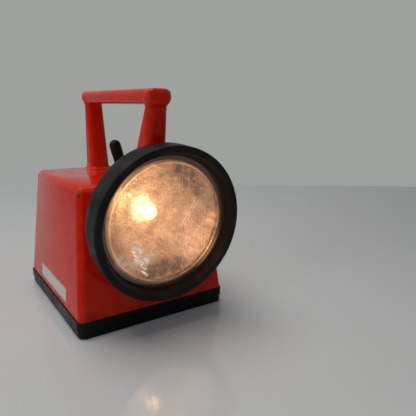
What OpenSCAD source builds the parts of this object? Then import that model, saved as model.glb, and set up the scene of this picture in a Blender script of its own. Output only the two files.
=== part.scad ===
// Rechargeable railway hand lantern: a tapered casing with a lamp bowl cast on its front, a carrying
// handle, a booted toggle switch on top and a base tray that carries the battery.
// Millimetres, +Z up. The lamp looks along -Y. The origin is the middle of the tray's underside.

/* [Casing] */
// Width of the casing at its open bottom, left to right
casing_bottom_w = 128; // [122:1:136]
// Depth of the casing at its open bottom, front to back
casing_bottom_d = 146; // [140:1:156]
// Width of the casing at its top
casing_top_w = 112; // [106:1:120]
// Depth of the casing at its top
casing_top_d = 120; // [114:1:128]
// Height of the casing's top above the ground
casing_top_z = 112; // [106:1:124]
// Thickness of the casing's walls
casing_wall = 2.5; // [2:0.1:3]
// Radius of the casing's rounded edges
edge_round = 5.5; // [4.5:0.5:7]
// Radius of the screw bosses inside the casing's corners
boss_r = 5; // [4.5:0.1:5.5]
// Height of the screw bosses
boss_h = 16; // [14:1:20]

/* [Base tray] */
// Height of the casing's bottom edge above the ground
tray_h = 14; // [12:0.5:16]
// How far the tray stands out past the casing
tray_proud = 1; // [0.5:0.1:1.5]
// Thickness of the tray's side walls, measured in from the casing's outline
tray_wall = 3; // [2.5:0.1:3.5]
// Thickness of the tray's floor
tray_floor = 3; // [2.5:0.1:4]
// Height of the bevel round the tray's foot
foot_bevel_h = 1.6; // [1:0.1:2.2]
// How far the bevel draws the foot in
foot_bevel = 1.5; // [1:0.1:2]
// Height of the ledge that runs round the tray
tray_ledge_z = 6.5; // [5:0.5:8]
// Depth of that ledge
tray_ledge = 0.8; // [0.4:0.1:1.2]
// Thickness of the seal between tray and casing
seal_t = 0.8; // [0.5:0.1:1.2]
// Width of the locating ribs inside the casing's edge
locating_rib_t = 1.8; // [1.4:0.1:2.2]
// Height of the locating ribs above the tray's rim
locating_rib_h = 4; // [3:0.5:6]

/* [Lamp head] */
// Height of the bulb's filament above the ground
head_z = 87; // [84:0.5:90]
// Distance of the filament behind the casing's front face
head_set_back = 2.3; // [0:0.1:4]
// Angle by which the lamp looks down
head_tilt = 5; // [0:0.5:8]
// Radius of the lamp bowl's dish
bowl_r = 52; // [50:0.5:54]
// Wall of the lamp bowl
bowl_wall = 2.5; // [2:0.1:3]
// Depth of the dish behind the filament
bowl_back = 17; // [16:0.5:20]
// Distance from the filament to the front of the dish
dish_front = 14; // [12:0.5:15]
// Distance from the filament to the front edge of the bowl's rim
rim_front = 24.5; // [23:0.5:27]
// Length of the bead round the rim
rim_bead_l = 5.5; // [4:0.5:7]
// Height of that bead
rim_bead_h = 1.5; // [1:0.1:2]
// Radius of the hole in the back of the bowl
bowl_hole_r = 15; // [13:0.5:18]
// How far the reflector's mouth lies inside the bowl's wall
mouth_inset = 3.6; // [3.2:0.1:4]
// Thickness of the reflector
reflector_t = 1; // [0.8:0.1:1.2]
// Inner radius of the reflector's neck
neck_r = 7.3; // [7:0.1:8]
// Length of the reflector's neck
neck_l = 7; // [6:0.5:9]
// Thickness of the lens seal
lens_seal_t = 1.5; // [1:0.1:2]
// Thickness of the lens
lens_t = 3; // [2.5:0.1:4]
// Height of the lens's dome
lens_dome = 4.5; // [3:0.5:5]
// Width of the lens's edge under the bezel's lip
lens_edge_w = 3; // [2.5:0.1:4]
// Width of the flat ring between the bezel's lip and the dome
lens_ring_w = 4; // [3:0.1:6]

/* [Rubber bezel] */
// Thickness of the bezel over the rim's bead
bezel_wall = 5.3; // [4:0.1:7]
// Thickness of the bezel's lip in front of the lens's edge
bezel_lip = 9.6; // [8:0.1:11]
// Width of the flat face of that lip
bezel_face_w = 2.7; // [2:0.1:3.5]
// Length of the hook behind the rim's bead
bezel_hook_l = 2.5; // [2:0.1:4]
// Radius of the bezel's outer front edge
bezel_front_round = 1.4; // [0.8:0.1:2]
// Height of the taper at the back of the bezel
bezel_taper = 1.3; // [0.6:0.1:2]
// Length of that taper
bezel_taper_l = 5; // [3:0.5:7]

/* [Handle] */
// Height of the gap between the casing's top and the middle of the bar
handle_gap = 59; // [52:0.5:66]
// Height of the bar
bar_h = 12.5; // [11:0.1:14]
// Angle by which the bar falls towards the lamp
bar_slope = 1.55; // [0:0.05:3]
// Width of the bar
bar_w = 18; // [16:0.5:20]
// Radius of the bar's long edges
bar_round = 5.8; // [4:0.1:6.2]
// Radius of the edges round the bar's ends
bar_end_round = 2.4; // [1.5:0.1:3.5]
// How far the bar's front end lies ahead of the filament
bar_lead = 22.6; // [18:0.2:26]
// How far the bar's back end stands out past the casing's top
bar_tail = 0.6; // [0:0.1:2]
// Thickness of the front post inside the bar
front_post_t = 8; // [7:0.5:10]
// Thickness of the rear post inside the bar
rear_post_t = 10.5; // [9:0.5:12]
// Width of a post inside the bar
post_top_w = 14.5; // [12:0.5:15]
// Width of a post at its foot
post_foot_w = 17; // [15:0.5:18]
// Radius of a post's edges
post_round = 3; // [2:0.1:4]
// How far the front post's foot lies behind its top
front_post_rake = 9.6; // [6:0.2:12]
// Thickness of the front post's foot
front_foot_t = 33; // [29:0.5:35]
// Thickness of the rear post's foot
rear_foot_t = 21; // [17:0.5:24]
// How far the posts' feet spread where they meet the casing
foot_spread = 1.8; // [1:0.1:2.5]
// Height of that spread
foot_spread_h = 3; // [2:0.1:4]
// How far the rear post stands in from the back edge of the casing's top
rear_post_inset = 0.6; // [0.4:0.1:2]

/* [Toggle switch] */
// Distance of the switch behind the middle of the casing, negative towards the lamp
switch_y = -12; // [-14:0.5:-8]
// Angle by which the lever leans to each side
toggle_angle = 16; // [12:1:18]
// Height of the lever's pivot above the casing's top
pivot_h = 3; // [2.5:0.1:3.5]
// Distance from the pivot to the middle of the lever's round end
toggle_l = 22.8; // [20:0.2:24]
// Radius of the rubber boot over the lever
boot_r = 4.9; // [4.4:0.1:5.2]
// Thickness of the boot's rubber
boot_t = 1.5; // [1.2:0.1:1.8]
// Radius of the threaded bushing
bushing_r = 5.9; // [5.5:0.1:6.2]
// Height of the bushing above the pivot
bushing_top = 2.5; // [2:0.1:2.8]
// Radius of the lever's ball
ball_r = 3.2; // [3:0.1:3.4]
// Radius of the pin that the lever turns on
pivot_pin_r = 0.8; // [0.6:0.05:1]
// Height of the boot's collar above the casing's top
collar_h = 7; // [6:0.2:7.6]
// Wall of the collar at its middle
collar_wall = 2.6; // [2:0.1:3.5]
// Width of the switch case, left to right
switch_case_w = 28; // [26:0.5:32]
// Depth of the switch case, front to back
switch_case_d = 17; // [15:0.5:19]
// Height of the switch case
switch_case_h = 19; // [17:0.5:21]

/* [Battery] */
// Width of the battery as it lies, left to right
battery_w = 70; // [64:0.5:72]
// Length of the battery, front to back
battery_l = 100; // [94:0.5:101]
// Height of the battery as it lies
battery_h = 47; // [42:0.5:48]
// Distance of the battery's middle behind the middle of the tray
battery_y = 14; // [13:0.5:15]
// Width of a terminal tab
tab_w = 6.3; // [4.8:0.1:7]
// Distance of a terminal tab from the middle
tab_x = 22; // [18:0.5:26]
// Width of the clamp strap
strap_w = 16; // [12:0.5:18]
// Thickness of the clamp strap
strap_t = 1.5; // [1:0.1:2]
// Place of the clamp strap, front to back
strap_y = 10; // [8:0.5:11]

/* [Fits and fasteners] */
// Clearance round pieces that slide together
fit = 0.1; // [0.05:0.01:0.15]
// Clearance between the boot and what it turns in
boot_clear = 0.3; // [0.3:0.05:0.4]
// Radius of a screw's shank
screw_r = 2; // [1.5:0.1:2.2]
// Radius of a screw's head
screw_head_r = 3.8; // [3.2:0.1:4]
// Height of a screw's head
screw_head_h = 2.6; // [2.2:0.1:3]
// Radius of a charging contact's face
contact_r = 6; // [5:0.1:7]
// Thickness of a charging contact's face
contact_t = 1.6; // [1.2:0.1:2]
// Distance of a charging contact from the middle
contact_x = 48; // [47:0.5:50]
// Place of the charging contacts, front to back
contact_y = 30; // [29:0.5:32]
// Radius of a lead over its insulation
lead_r = 1.1; // [0.8:0.1:1.3]

/* [Hidden] */
$fn = 64;
hull_fn = 32;
cut = 1;
sheet = 0.01;

red = "#d8341c";
black = "#1d1d1f";
brass = "#c9a455";
steel = "#b9bcc0";

// Casing
casing_rise = casing_top_z - tray_h;
function casing_half_w(z) =
    casing_bottom_w / 2 + (casing_top_w - casing_bottom_w) / 2 * (z - tray_h) / casing_rise;
function casing_half_d(z) =
    casing_bottom_d / 2 + (casing_top_d - casing_bottom_d) / 2 * (z - tray_h) / casing_rise;
casing_ceiling = casing_top_z - casing_wall;
boss_sink = 1.7;
pillar_r = 6;
seal_w = 1;
boss_cap = 2;
boss_in = casing_wall + boss_r - boss_sink;
pillar_in = pillar_r + seal_w + 2 * fit;
boss_x = min(casing_half_w(tray_h + boss_h) - boss_in, casing_half_w(tray_h) - pillar_in);
boss_y = min(casing_half_d(tray_h + boss_h) - boss_in, casing_half_d(tray_h) - pillar_in);
corners = [for (sx = [-1, 1], sy = [-1, 1]) [sx, sy]];
sides = [-1, 1];

// Lamp head: its own frame has +Z along the beam and +Y up, with the filament at the origin
head_y = head_set_back - casing_half_d(head_z);
function head_point(p) = [
    p[0],
    head_y - p[1] * sin(head_tilt) - p[2] * cos(head_tilt),
    head_z + p[1] * cos(head_tilt) - p[2] * sin(head_tilt)
];
dish_depth = dish_front + bowl_back;
dish_sphere_r = (bowl_r * bowl_r + dish_depth * dish_depth) / (2 * dish_depth);
dish_centre = dish_sphere_r - bowl_back;
rim_bead_z = rim_front - rim_bead_l;
rim_bead_r = bowl_r + rim_bead_h;
mouth_z = rim_front + reflector_t;
mouth_r = bowl_r - bowl_wall - mouth_inset;
reflector_focus = (sqrt(mouth_z * mouth_z + mouth_r * mouth_r) - mouth_z) / 2;
flange_inset = 0.5;
flange_r = rim_bead_r - flange_inset;
neck_front = parabola_z(neck_r);
neck_back = neck_front - neck_l;
lens_seat = mouth_z + lens_seal_t;
lens_edge_front = lens_seat + lens_t;
lens_clear_r = flange_r - lens_edge_w;
lens_dome_r = lens_clear_r - lens_ring_w;
lens_sphere_r = (lens_dome_r * lens_dome_r + lens_dome * lens_dome) / (2 * lens_dome);
lens_inner_step = 1;
lens_seal_inset = 1;
lip_gap = 0.4;
lip_edge = 0.8;
bezel_r = rim_bead_r + bezel_wall;
bezel_back = rim_bead_z - bezel_hook_l;
bezel_front = lens_edge_front + bezel_lip;
reflector_steps = 14;
function parabola_z(r) = r * r / (4 * reflector_focus) - reflector_focus;
function parabola_slope(r) = r / (2 * reflector_focus);
function reflector_back(r) = let (s = parabola_slope(r), k = reflector_t / sqrt(1 + s * s))
    [r + k * s, parabola_z(r) - k];
reflector_radii = [for (i = [0:reflector_steps]) neck_r + (mouth_r - neck_r) * i / reflector_steps];

// Bulb and holder along the beam's axis
bulb_r = 6;
bulb_t = 0.6;
bulb_neck_r = 4.2;
bulb_bore_r = bulb_neck_r - bulb_t;
cap_r = 4.75;
cap_front = -7;
cap_back = -19;
cap_tip = 1.2;
cap_tip_r = 2.4;
cap_proud = 1;
filament_l = 4;
support_r = 0.3;
bridge_h = 2;
sleeve_r = neck_r - fit;
sleeve_front = cap_front - cap_proud;
sleeve_tail = 0.8;
holder_flange_w = 1.5;
holder_flange_r = neck_r + reflector_t + holder_flange_w;
holder_flange_t = 2;
contact_disc_r = 3;
contact_disc_t = 0.8;
insulator_t = 3.5;
insulator_front = cap_back - cap_tip - contact_disc_t;
insulator_back = insulator_front - insulator_t;
holder_back = insulator_back - sleeve_tail;
plunger_r = 1.8;
plunger_tail = 3.5;
plunger_back = insulator_back - plunger_tail;
shell_tag_l = 9;
shell_tag_lead = 2.5;
shell_tag_w = 5;
shell_tag_t = 0.8;
shell_tag_z = neck_back - holder_flange_t - shell_tag_t;

// Handle
bar_bottom = casing_top_z + handle_gap;
bar_front = head_y - bar_lead;
bar_back = casing_top_d / 2 + bar_tail;
bar_middle = [0, (bar_front + bar_back) / 2, bar_bottom + bar_h / 2];
post_inset = 0.8;
front_post_top = bar_front + post_inset;
front_post_foot = front_post_top + front_post_rake;
rear_post_back = casing_top_d / 2 - rear_post_inset;
post_depth = 1.5;
post_foot_z = casing_top_z - edge_round - post_depth;
spread_depth = 4;
spread_z = casing_top_z - spread_depth;
spread_sink = 0.4;
end_arc_steps = 3;
handle_screw_y = rear_post_back - rear_foot_t / 2;
handle_screw_l = 16;
bowl_screw_angle = 52;
bowl_screw_seat = sqrt(pow(dish_sphere_r - bowl_wall, 2) - pow(screw_head_r, 2)) - fit;

// Toggle switch
pivot = [0, switch_y, casing_top_z + pivot_h];
swing = [0, -toggle_angle, 0];
boot_ball_in = sqrt(pow(bushing_r, 2) + pow(bushing_top, 2)) + boot_clear;
boot_ball_r = boot_ball_in + boot_t;
collar_ball_r = boot_ball_r + boot_clear;
collar_r = collar_ball_r + collar_wall;
boot_grip = 0.05;
lever_r = boot_r - boot_t - boot_grip;
lever_neck_r = 2.2;
lever_taper = 1;
lever_taper_z = boot_ball_r + lever_taper;
lever_taper_l = toggle_l - lever_taper_z;
pin_fit = 0.05;
pin_press = 0.02;
pin_end = 0.2;
tail_r = 1.3;
tail_l = 7;
tail_room_r = 4.5;
tail_room_h = 4;
ball_seat_h = 3;
bushing_end = pivot[2] + bushing_top;
bushing_plate_t = 1.5;
case_top = casing_ceiling - bushing_plate_t;
case_bottom = case_top - switch_case_h;
case_round = 1.5;
switch_tab_x = 7;
switch_tab_w = 5;
switch_tab_t = 1;
switch_tab_l = 7;
switch_tab_root = 3;

// Tray, battery and contacts
tray_rim = tray_h - seal_t;
battery_top = tray_floor + battery_h;
battery_front = battery_y - battery_l / 2;
battery_rear = battery_y + battery_l / 2;
battery_slack = 0.3;
battery_round = 3;
loose = 4 * fit;
rail_t = 3;
rail_l = 18;
rail_h = 10;
rail_inset = 2;
stop_l = 24;
post_r = 4.5;
post_h = 7;
strap_foot_l = 9;
strap_x = battery_w / 2 + battery_slack + strap_t;
strap_screw_x = strap_x + strap_foot_l / 2;
strap_foot_z = tray_floor + post_h;
contact_boss_r = 8;
contact_boss_h = 3;
contact_recess = 0.5;
contact_top = contact_recess + contact_t;
contact_boss_top = tray_floor + contact_boss_h;
stud_r = 2;
stud_l = 6;
stud_top = contact_boss_top + stud_l;
nut_af = 7;
nut_h = 3.2;
lug_t = 0.8;
lug_r = 3.6;
barrel_r = 1.5;
barrel_l = 6;
tab_t = 0.8;
tab_l = 6.5;
tab_drop = 10;
tab_z = battery_top - tab_drop;
tab_root = 2;
push_lug_w = tab_w + 1.8;
push_lug_h = 3.2;
push_lug_l = 7.6;
push_lug_gap = 0.3;
screw_seat = 4;
screw_room = 4;
strap_screw_room = 0.5;
tray_screw_top = tray_h + boss_h - screw_room;

// Leads: points between the ends, chosen along clear routes inside the casing
lead_sides = 8;
lead_steps = 3;
switch_feed_points = [[22, -53, 43], [24, -50, 54], [24, -40, 63], [18, -28, 72]];
lamp_feed_points = [[-7, -12, 78], [-7, -17, 74], [-4, -23, 78]];
lamp_return_points = [[-22, -53, 43], [-25, -50, 54], [-25, -42, 64], [-19, -37, 76]];
charge_points = [[50, 12, 9], [50, -18, 11], [46, -36, 24], [38, -42, 36]];

// Bends a route into a smooth line, then carries a ring of points along it
function curve_point(p, i, t) = let (
    a = p[max(i - 1, 0)], b = p[i], c = p[i + 1], d = p[min(i + 2, len(p) - 1)])
    0.5 * (2 * b + (c - a) * t + (2 * a - 5 * b + 4 * c - d) * t * t + (3 * b - a - 3 * c + d) * t * t * t);
function smooth(p) = concat(
    [for (i = [0:len(p) - 2], k = [0:lead_steps - 1]) curve_point(p, i, k / lead_steps)], [p[len(p) - 1]]);
function unit(v) = v / norm(v);
function along(p, i) = unit(p[min(i + 1, len(p) - 1)] - p[max(i - 1, 0)]);
function square_to(v, t) = unit(v - (v * t) * t);
function carried(p, v, i = 0) = i == len(p) ? [] :
    let (n = square_to(v, along(p, i))) concat([n], carried(p, n, i + 1));
function ring(c, t, n, r) = [for (k = [0:lead_sides - 1])
    let (a = 360 * k / lead_sides) c + r * (cos(a) * n + sin(a) * cross(t, n))];
function side_faces(rings) = [for (i = [0:rings - 2], k = [0:lead_sides - 1])
    let (a = i * lead_sides + k, b = i * lead_sides + (k + 1) % lead_sides)
    each [[a, a + lead_sides, b], [b, a + lead_sides, b + lead_sides]]];
function end_faces(rings) = let (last = (rings - 1) * lead_sides) concat(
    [for (k = [1:lead_sides - 2]) [0, k, k + 1]],
    [for (k = [1:lead_sides - 2]) [last, last + k + 1, last + k]]);

module lead(points) {
    p = smooth(points);
    normals = carried(p, [0.31, 0.53, 0.79]);
    rings = [for (i = [0:len(p) - 1]) each ring(p[i], along(p, i), normals[i], lead_r)];
    polyhedron(rings, concat(side_faces(len(p)), end_faces(len(p))), convexity = 6);
}

// Shared shapes
module in_head() {
    translate([0, head_y, head_z]) rotate([90 + head_tilt, 0, 0]) children();
}

module on_pivot() {
    translate(pivot) rotate(swing) children();
}

module rounded_rect(w, d, r) {
    square([w - 2 * r, d], center = true);
    square([w, d - 2 * r], center = true);
    for (c = corners)
        translate([c[0] * (w / 2 - r), c[1] * (d / 2 - r)]) circle(r);
}

module tray_outline(inset) {
    rounded_rect(
        casing_bottom_w + 2 * (tray_proud - inset),
        casing_bottom_d + 2 * (tray_proud - inset),
        edge_round + tray_proud - inset);
}

// A ball with a point at each pole, so that a hull over it is exactly as high as its radius says
module ball(r) {
    rotate_extrude($fn = hull_fn) intersection() {
        circle(r, $fn = hull_fn);
        translate([0, -r]) square([r, 2 * r]);
    }
}

module tapered_box(inset, bottom) {
    r = edge_round - inset;
    hull() for (c = corners) {
        translate([
            c[0] * (casing_top_w / 2 - edge_round),
            c[1] * (casing_top_d / 2 - edge_round),
            casing_top_z - edge_round
        ]) ball(r);
        translate([
            c[0] * (casing_half_w(bottom) - edge_round),
            c[1] * (casing_half_d(bottom) - edge_round),
            bottom
        ]) cylinder(r = r, h = sheet, $fn = hull_fn);
    }
}

module at_corners() {
    for (c = corners) translate([c[0] * boss_x, c[1] * boss_y, 0]) children();
}

module at_contacts() {
    for (s = sides) translate([s * contact_x, contact_y, 0]) children();
}

module at_tabs() {
    for (s = sides) translate([s * tab_x, battery_front, tab_z]) children();
}

module screw(l) {
    cylinder(r = screw_head_r, h = screw_head_h);
    translate([0, 0, screw_head_h - sheet]) cylinder(r = screw_r, h = l + sheet);
}

// Along the screw that goes square through the dish into the front post
module on_bowl() {
    translate([0, 0, dish_centre]) rotate([180 + bowl_screw_angle, 0, 0]) children();
}

module bowl_outer() {
    intersection() {
        translate([0, 0, dish_centre]) sphere(dish_sphere_r);
        translate([0, 0, -bowl_back]) cylinder(r = bowl_r, h = dish_depth);
    }
    translate([0, 0, dish_front - cut]) cylinder(r = bowl_r, h = rim_front - dish_front + cut);
}

// Casing and handle
module casing() color(red) difference() {
    union() {
        difference() {
            tapered_box(0, tray_h);
            tapered_box(casing_wall, tray_h - cut);
        }
        in_head() {
            bowl_outer();
            translate([0, 0, rim_bead_z]) cylinder(r = rim_bead_r, h = rim_bead_l);
        }
        at_corners() translate([0, 0, tray_h]) cylinder(r = boss_r, h = boss_h);
    }
    in_head() {
        intersection() {
            translate([0, 0, dish_centre]) sphere(dish_sphere_r - bowl_wall);
            translate([0, 0, -bowl_back]) cylinder(r = bowl_r - bowl_wall, h = dish_depth + cut);
        }
        translate([0, 0, dish_front]) cylinder(r = bowl_r - bowl_wall, h = rim_front);
        translate([0, 0, -2 * bowl_back]) cylinder(r = bowl_hole_r, h = 2 * bowl_back);
        on_bowl() translate([0, 0, dish_sphere_r - bowl_wall - cut])
            cylinder(r = screw_r + fit, h = bowl_wall + 2 * cut);
    }
    translate([0, switch_y, casing_ceiling - cut])
        cylinder(r = bushing_r + fit, h = casing_wall + 2 * cut);
    translate([0, handle_screw_y, casing_ceiling - cut])
        cylinder(r = screw_r + fit, h = casing_wall + 2 * cut);
    at_corners() translate([0, 0, tray_h - cut]) cylinder(r = screw_r + fit, h = boss_h - boss_cap + cut);
}

// A post's outline at one height: how far its faces lie, how wide it is and how much it is spread
module post_section(front, back, w, z, spread = 0) {
    r = post_round + spread;
    for (s = sides, y = [front + post_round, back - post_round])
        translate([s * (w / 2 - post_round), y, z]) cylinder(r = r, h = sheet, $fn = hull_fn);
}

function between(a, b, t) = a + (b - a) * t;

// A post that tapers from its foot to the bar, with a spread foot: faces are [front, back]
module post(top, foot) {
    rise = bar_middle[2] - post_foot_z;
    module section(z, spread) {
        t = (z - post_foot_z) / rise;
        post_section(between(foot[0], top[0], t), between(foot[1], top[1], t),
                     between(post_foot_w, post_top_w, t), z, spread);
    }
    hull() {
        section(bar_middle[2], 0);
        section(post_foot_z, 0);
    }
    hull() {
        section(casing_top_z + foot_spread_h, -spread_sink);
        section(spread_z, foot_spread);
    }
}

module bar() {
    length = bar_back - bar_front;
    translate(bar_middle) rotate([90 + bar_slope, 0, 0]) hull() for (i = [0:end_arc_steps]) {
        a = 90 * i / end_arc_steps;
        inset = bar_end_round * (1 - sin(a));
        back = bar_end_round * (1 - cos(a));
        linear_extrude(length - 2 * back, center = true)
            rounded_rect(bar_w - 2 * inset, bar_h - 2 * inset, bar_round - inset, $fn = hull_fn);
    }
}

module carry_handle() color(red) difference() {
    union() {
        bar();
        post([front_post_top, front_post_top + front_post_t],
             [front_post_foot, front_post_foot + front_foot_t]);
        post([rear_post_back - rear_post_t, rear_post_back],
             [rear_post_back - rear_foot_t, rear_post_back]);
    }
    tapered_box(0, tray_h);
    in_head() {
        bowl_outer();
        on_bowl() translate([0, 0, dish_sphere_r - cut])
            cylinder(r = screw_r + fit, h = handle_screw_l - bowl_wall + cut);
    }
    translate([0, handle_screw_y, casing_top_z - cut])
        cylinder(r = screw_r + fit, h = handle_screw_l - casing_wall + cut);
}

module handle_screws() color(steel) {
    translate([0, handle_screw_y, casing_ceiling - screw_head_h]) screw(handle_screw_l - cut);
    in_head() on_bowl() translate([0, 0, bowl_screw_seat - screw_head_h]) screw(handle_screw_l - cut);
}

// Base
module base_tray() color(black) difference() {
    union() {
        difference() {
            union() {
                hull() {
                    linear_extrude(sheet) tray_outline(foot_bevel, $fn = hull_fn);
                    translate([0, 0, foot_bevel_h])
                        linear_extrude(sheet) tray_outline(tray_ledge, $fn = hull_fn);
                }
                translate([0, 0, foot_bevel_h])
                    linear_extrude(tray_ledge_z - foot_bevel_h) tray_outline(tray_ledge);
                translate([0, 0, tray_ledge_z]) linear_extrude(tray_rim - tray_ledge_z) tray_outline(0);
            }
            translate([0, 0, tray_floor]) linear_extrude(tray_h) tray_outline(tray_proud + tray_wall);
        }
        at_corners() cylinder(r = pillar_r, h = tray_h);
        at_contacts() cylinder(r = contact_boss_r, h = contact_boss_top);
        for (s = sides) {
            translate([s * strap_screw_x, strap_y, 0]) cylinder(r = post_r, h = strap_foot_z);
            for (y = [battery_front + rail_inset, battery_rear - rail_l - rail_inset])
                translate([s * (battery_w / 2 + battery_slack + rail_t / 2) - rail_t / 2, y, 0])
                    cube([rail_t, rail_l, tray_floor + rail_h]);
            translate([
                s * (casing_half_w(tray_h) - casing_wall - loose) - (1 + s) / 2 * locating_rib_t,
                -boss_y + 2 * boss_r,
                0
            ])
                cube([locating_rib_t, 2 * boss_y - 4 * boss_r, tray_rim + locating_rib_h]);
        }
        for (y = [battery_front - battery_slack - rail_t, battery_rear + battery_slack])
            translate([-stop_l / 2, y, 0]) cube([stop_l, rail_t, tray_floor + rail_h]);
    }
    at_corners() {
        translate([0, 0, -cut]) cylinder(r = screw_head_r + loose, h = screw_seat + cut);
        cylinder(r = screw_r + fit, h = tray_h + cut);
    }
    at_contacts() {
        translate([0, 0, -cut]) cylinder(r = contact_r + 2 * fit, h = contact_top + cut);
        cylinder(r = stud_r + fit, h = contact_boss_top + cut);
    }
    for (s = sides) translate([s * strap_screw_x, strap_y, tray_floor])
        cylinder(r = screw_r + fit, h = post_h + cut);
}

module tray_seal() color("#101010") translate([0, 0, tray_rim]) linear_extrude(seal_t) difference() {
    tray_outline(tray_proud + fit);
    tray_outline(tray_proud + casing_wall - fit);
    for (c = corners) translate([c[0] * boss_x, c[1] * boss_y]) circle(pillar_r + fit);
}

module tray_screws() color(steel) at_corners() translate([0, 0, screw_seat - screw_head_h])
    screw(tray_screw_top - screw_seat);

module charging_contacts() color(brass) at_contacts() {
    translate([0, 0, contact_recess]) cylinder(r = contact_r, h = contact_t);
    translate([0, 0, contact_recess]) cylinder(r = stud_r, h = stud_top - contact_recess);
}

module contact_nuts() color(steel) at_contacts() translate([0, 0, contact_boss_top + lug_t])
    difference() {
        cylinder(d = nut_af / cos(30), h = nut_h, $fn = 6);
        translate([0, 0, -cut]) cylinder(r = stud_r + fit, h = nut_h + 2 * cut);
    }

module contact_lugs() color(steel) at_contacts() translate([0, 0, contact_boss_top]) difference() {
    union() {
        cylinder(r = lug_r, h = lug_t);
        translate([-barrel_r, -contact_boss_r, 0]) cube([2 * barrel_r, contact_boss_r, lug_t]);
        translate([0, -contact_boss_r + cut, barrel_r]) rotate([90, 0, 0])
            cylinder(r = barrel_r, h = barrel_l);
    }
    translate([0, 0, -cut]) cylinder(r = stud_r + fit, h = lug_t + 2 * cut);
}

// Battery
module battery() color("#3a3d42") difference() {
    translate([0, battery_front, tray_floor]) rotate([-90, 0, 0]) linear_extrude(battery_l)
        translate([0, -battery_h / 2]) rounded_rect(battery_w, battery_h, battery_round);
    at_tabs() translate([-tab_w / 2 - fit, -cut, -tab_t / 2 - fit])
        cube([tab_w + 2 * fit, tab_root + cut, tab_t + 2 * fit]);
}

module battery_tabs() color(steel) at_tabs() translate([-tab_w / 2, -tab_l, -tab_t / 2])
    cube([tab_w, tab_l + tab_root, tab_t]);

module battery_lugs() color(brass) for (s = sides) translate([s * tab_x, battery_front, tab_z])
    difference() {
        union() {
            translate([-push_lug_w / 2, -push_lug_gap - push_lug_l, -push_lug_h / 2])
                cube([push_lug_w, push_lug_l, push_lug_h]);
            translate([0, -push_lug_gap - push_lug_l + cut, 0]) rotate([90, 0, 0])
                cylinder(r = barrel_r, h = barrel_l);
            translate([s * (push_lug_w / 2 - cut), -push_lug_gap - push_lug_l / 2, 0])
                rotate([0, s * 90, 0]) cylinder(r = barrel_r, h = barrel_l);
        }
        translate([-tab_w / 2 - fit, -tab_l - fit, -tab_t / 2 - fit])
            cube([tab_w + 2 * fit, tab_l + cut, tab_t + 2 * fit]);
    }

module battery_strap() color(steel) difference() {
    union() {
        translate([-strap_x, strap_y - strap_w / 2, battery_top]) cube([2 * strap_x, strap_w, strap_t]);
        for (s = sides) {
            translate([s * (strap_x - strap_t / 2) - strap_t / 2, strap_y - strap_w / 2, strap_foot_z])
                cube([strap_t, strap_w, battery_top + strap_t - strap_foot_z]);
            translate([s * strap_screw_x - strap_foot_l / 2 - cut / 2, strap_y - strap_w / 2, strap_foot_z])
                cube([strap_foot_l + cut, strap_w, strap_t]);
        }
    }
    for (s = sides) translate([s * strap_screw_x, strap_y, strap_foot_z - cut])
        cylinder(r = screw_r + fit, h = strap_t + 2 * cut);
}

module strap_screws() color(steel) for (s = sides)
    translate([s * strap_screw_x, strap_y, strap_foot_z + strap_t + screw_head_h]) rotate([180, 0, 0])
        screw(strap_t + post_h - strap_screw_room);

// Lamp head
function arc(c, r, from, to, n) = [for (i = [0:n])
    let (a = between(from, to, i / n)) c + r * [cos(a), sin(a)]];

module bezel_ring() color(black) in_head() rotate_extrude() polygon(concat(
    [
        [bowl_r + fit, bezel_back],
        [bezel_r - bezel_taper, bezel_back],
        [bezel_r, bezel_back + bezel_taper_l]
    ],
    arc([bezel_r - bezel_front_round, bezel_front - bezel_front_round], bezel_front_round, 0, 90, 4),
    [
        [bezel_r - bezel_front_round - bezel_face_w, bezel_front],
        [lens_clear_r + lip_gap, lens_edge_front + lip_edge],
        [lens_clear_r + lip_gap, lens_edge_front],
        [flange_r + fit, lens_edge_front],
        [flange_r + fit, rim_front],
        [rim_bead_r + fit, rim_front],
        [rim_bead_r + fit, rim_bead_z],
        [bowl_r + fit, rim_bead_z]
    ]
));

module lens() color("#f2ead8", 0.5) in_head() difference() {
    union() {
        translate([0, 0, lens_seat]) cylinder(r = flange_r, h = lens_t);
        intersection() {
            translate([0, 0, lens_edge_front + lens_dome - lens_sphere_r]) sphere(lens_sphere_r);
            translate([0, 0, lens_seat]) cylinder(r = lens_dome_r, h = lens_t + lens_dome);
        }
    }
    intersection() {
        translate([0, 0, lens_edge_front + lens_dome - lens_sphere_r]) sphere(lens_sphere_r - lens_t);
        translate([0, 0, lens_seat - cut])
            cylinder(r = lens_dome_r - lens_inner_step, h = lens_t + lens_dome);
    }
}

module lens_seal() color("#101010") in_head() translate([0, 0, mouth_z]) linear_extrude(lens_seal_t)
    difference() {
        circle(flange_r);
        circle(mouth_r + lens_seal_inset);
    }

module reflector() color("#dcdcd8") in_head() rotate_extrude() polygon(concat(
    [[neck_r, neck_back]],
    [for (r = reflector_radii) [r, parabola_z(r)]],
    [[flange_r, mouth_z], [flange_r, rim_front], [bowl_r - bowl_wall - fit, rim_front]],
    [for (i = [reflector_steps - 1:-1:1]) reflector_back(reflector_radii[i])],
    [[neck_r + reflector_t, neck_front], [neck_r + reflector_t, neck_back]]
));

module bulb_glass() color("#fff4d6", 0.6) in_head() difference() {
    union() {
        sphere(bulb_r);
        translate([0, 0, cap_front]) cylinder(r = bulb_neck_r, h = -cap_front);
    }
    sphere(bulb_r - bulb_t);
    translate([0, 0, cap_front - cut]) cylinder(r = bulb_bore_r, h = cut - cap_front);
}

module bulb_filament() color("#ffcf70") in_head() {
    rotate([0, 90, 0]) cylinder(r = support_r, h = filament_l, center = true);
    for (s = sides) translate([s * filament_l / 2, 0, cap_front])
        cylinder(r = support_r, h = support_r - cap_front);
    translate([0, 0, cap_front]) cylinder(r = bulb_bore_r - fit, h = bridge_h);
}

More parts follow.
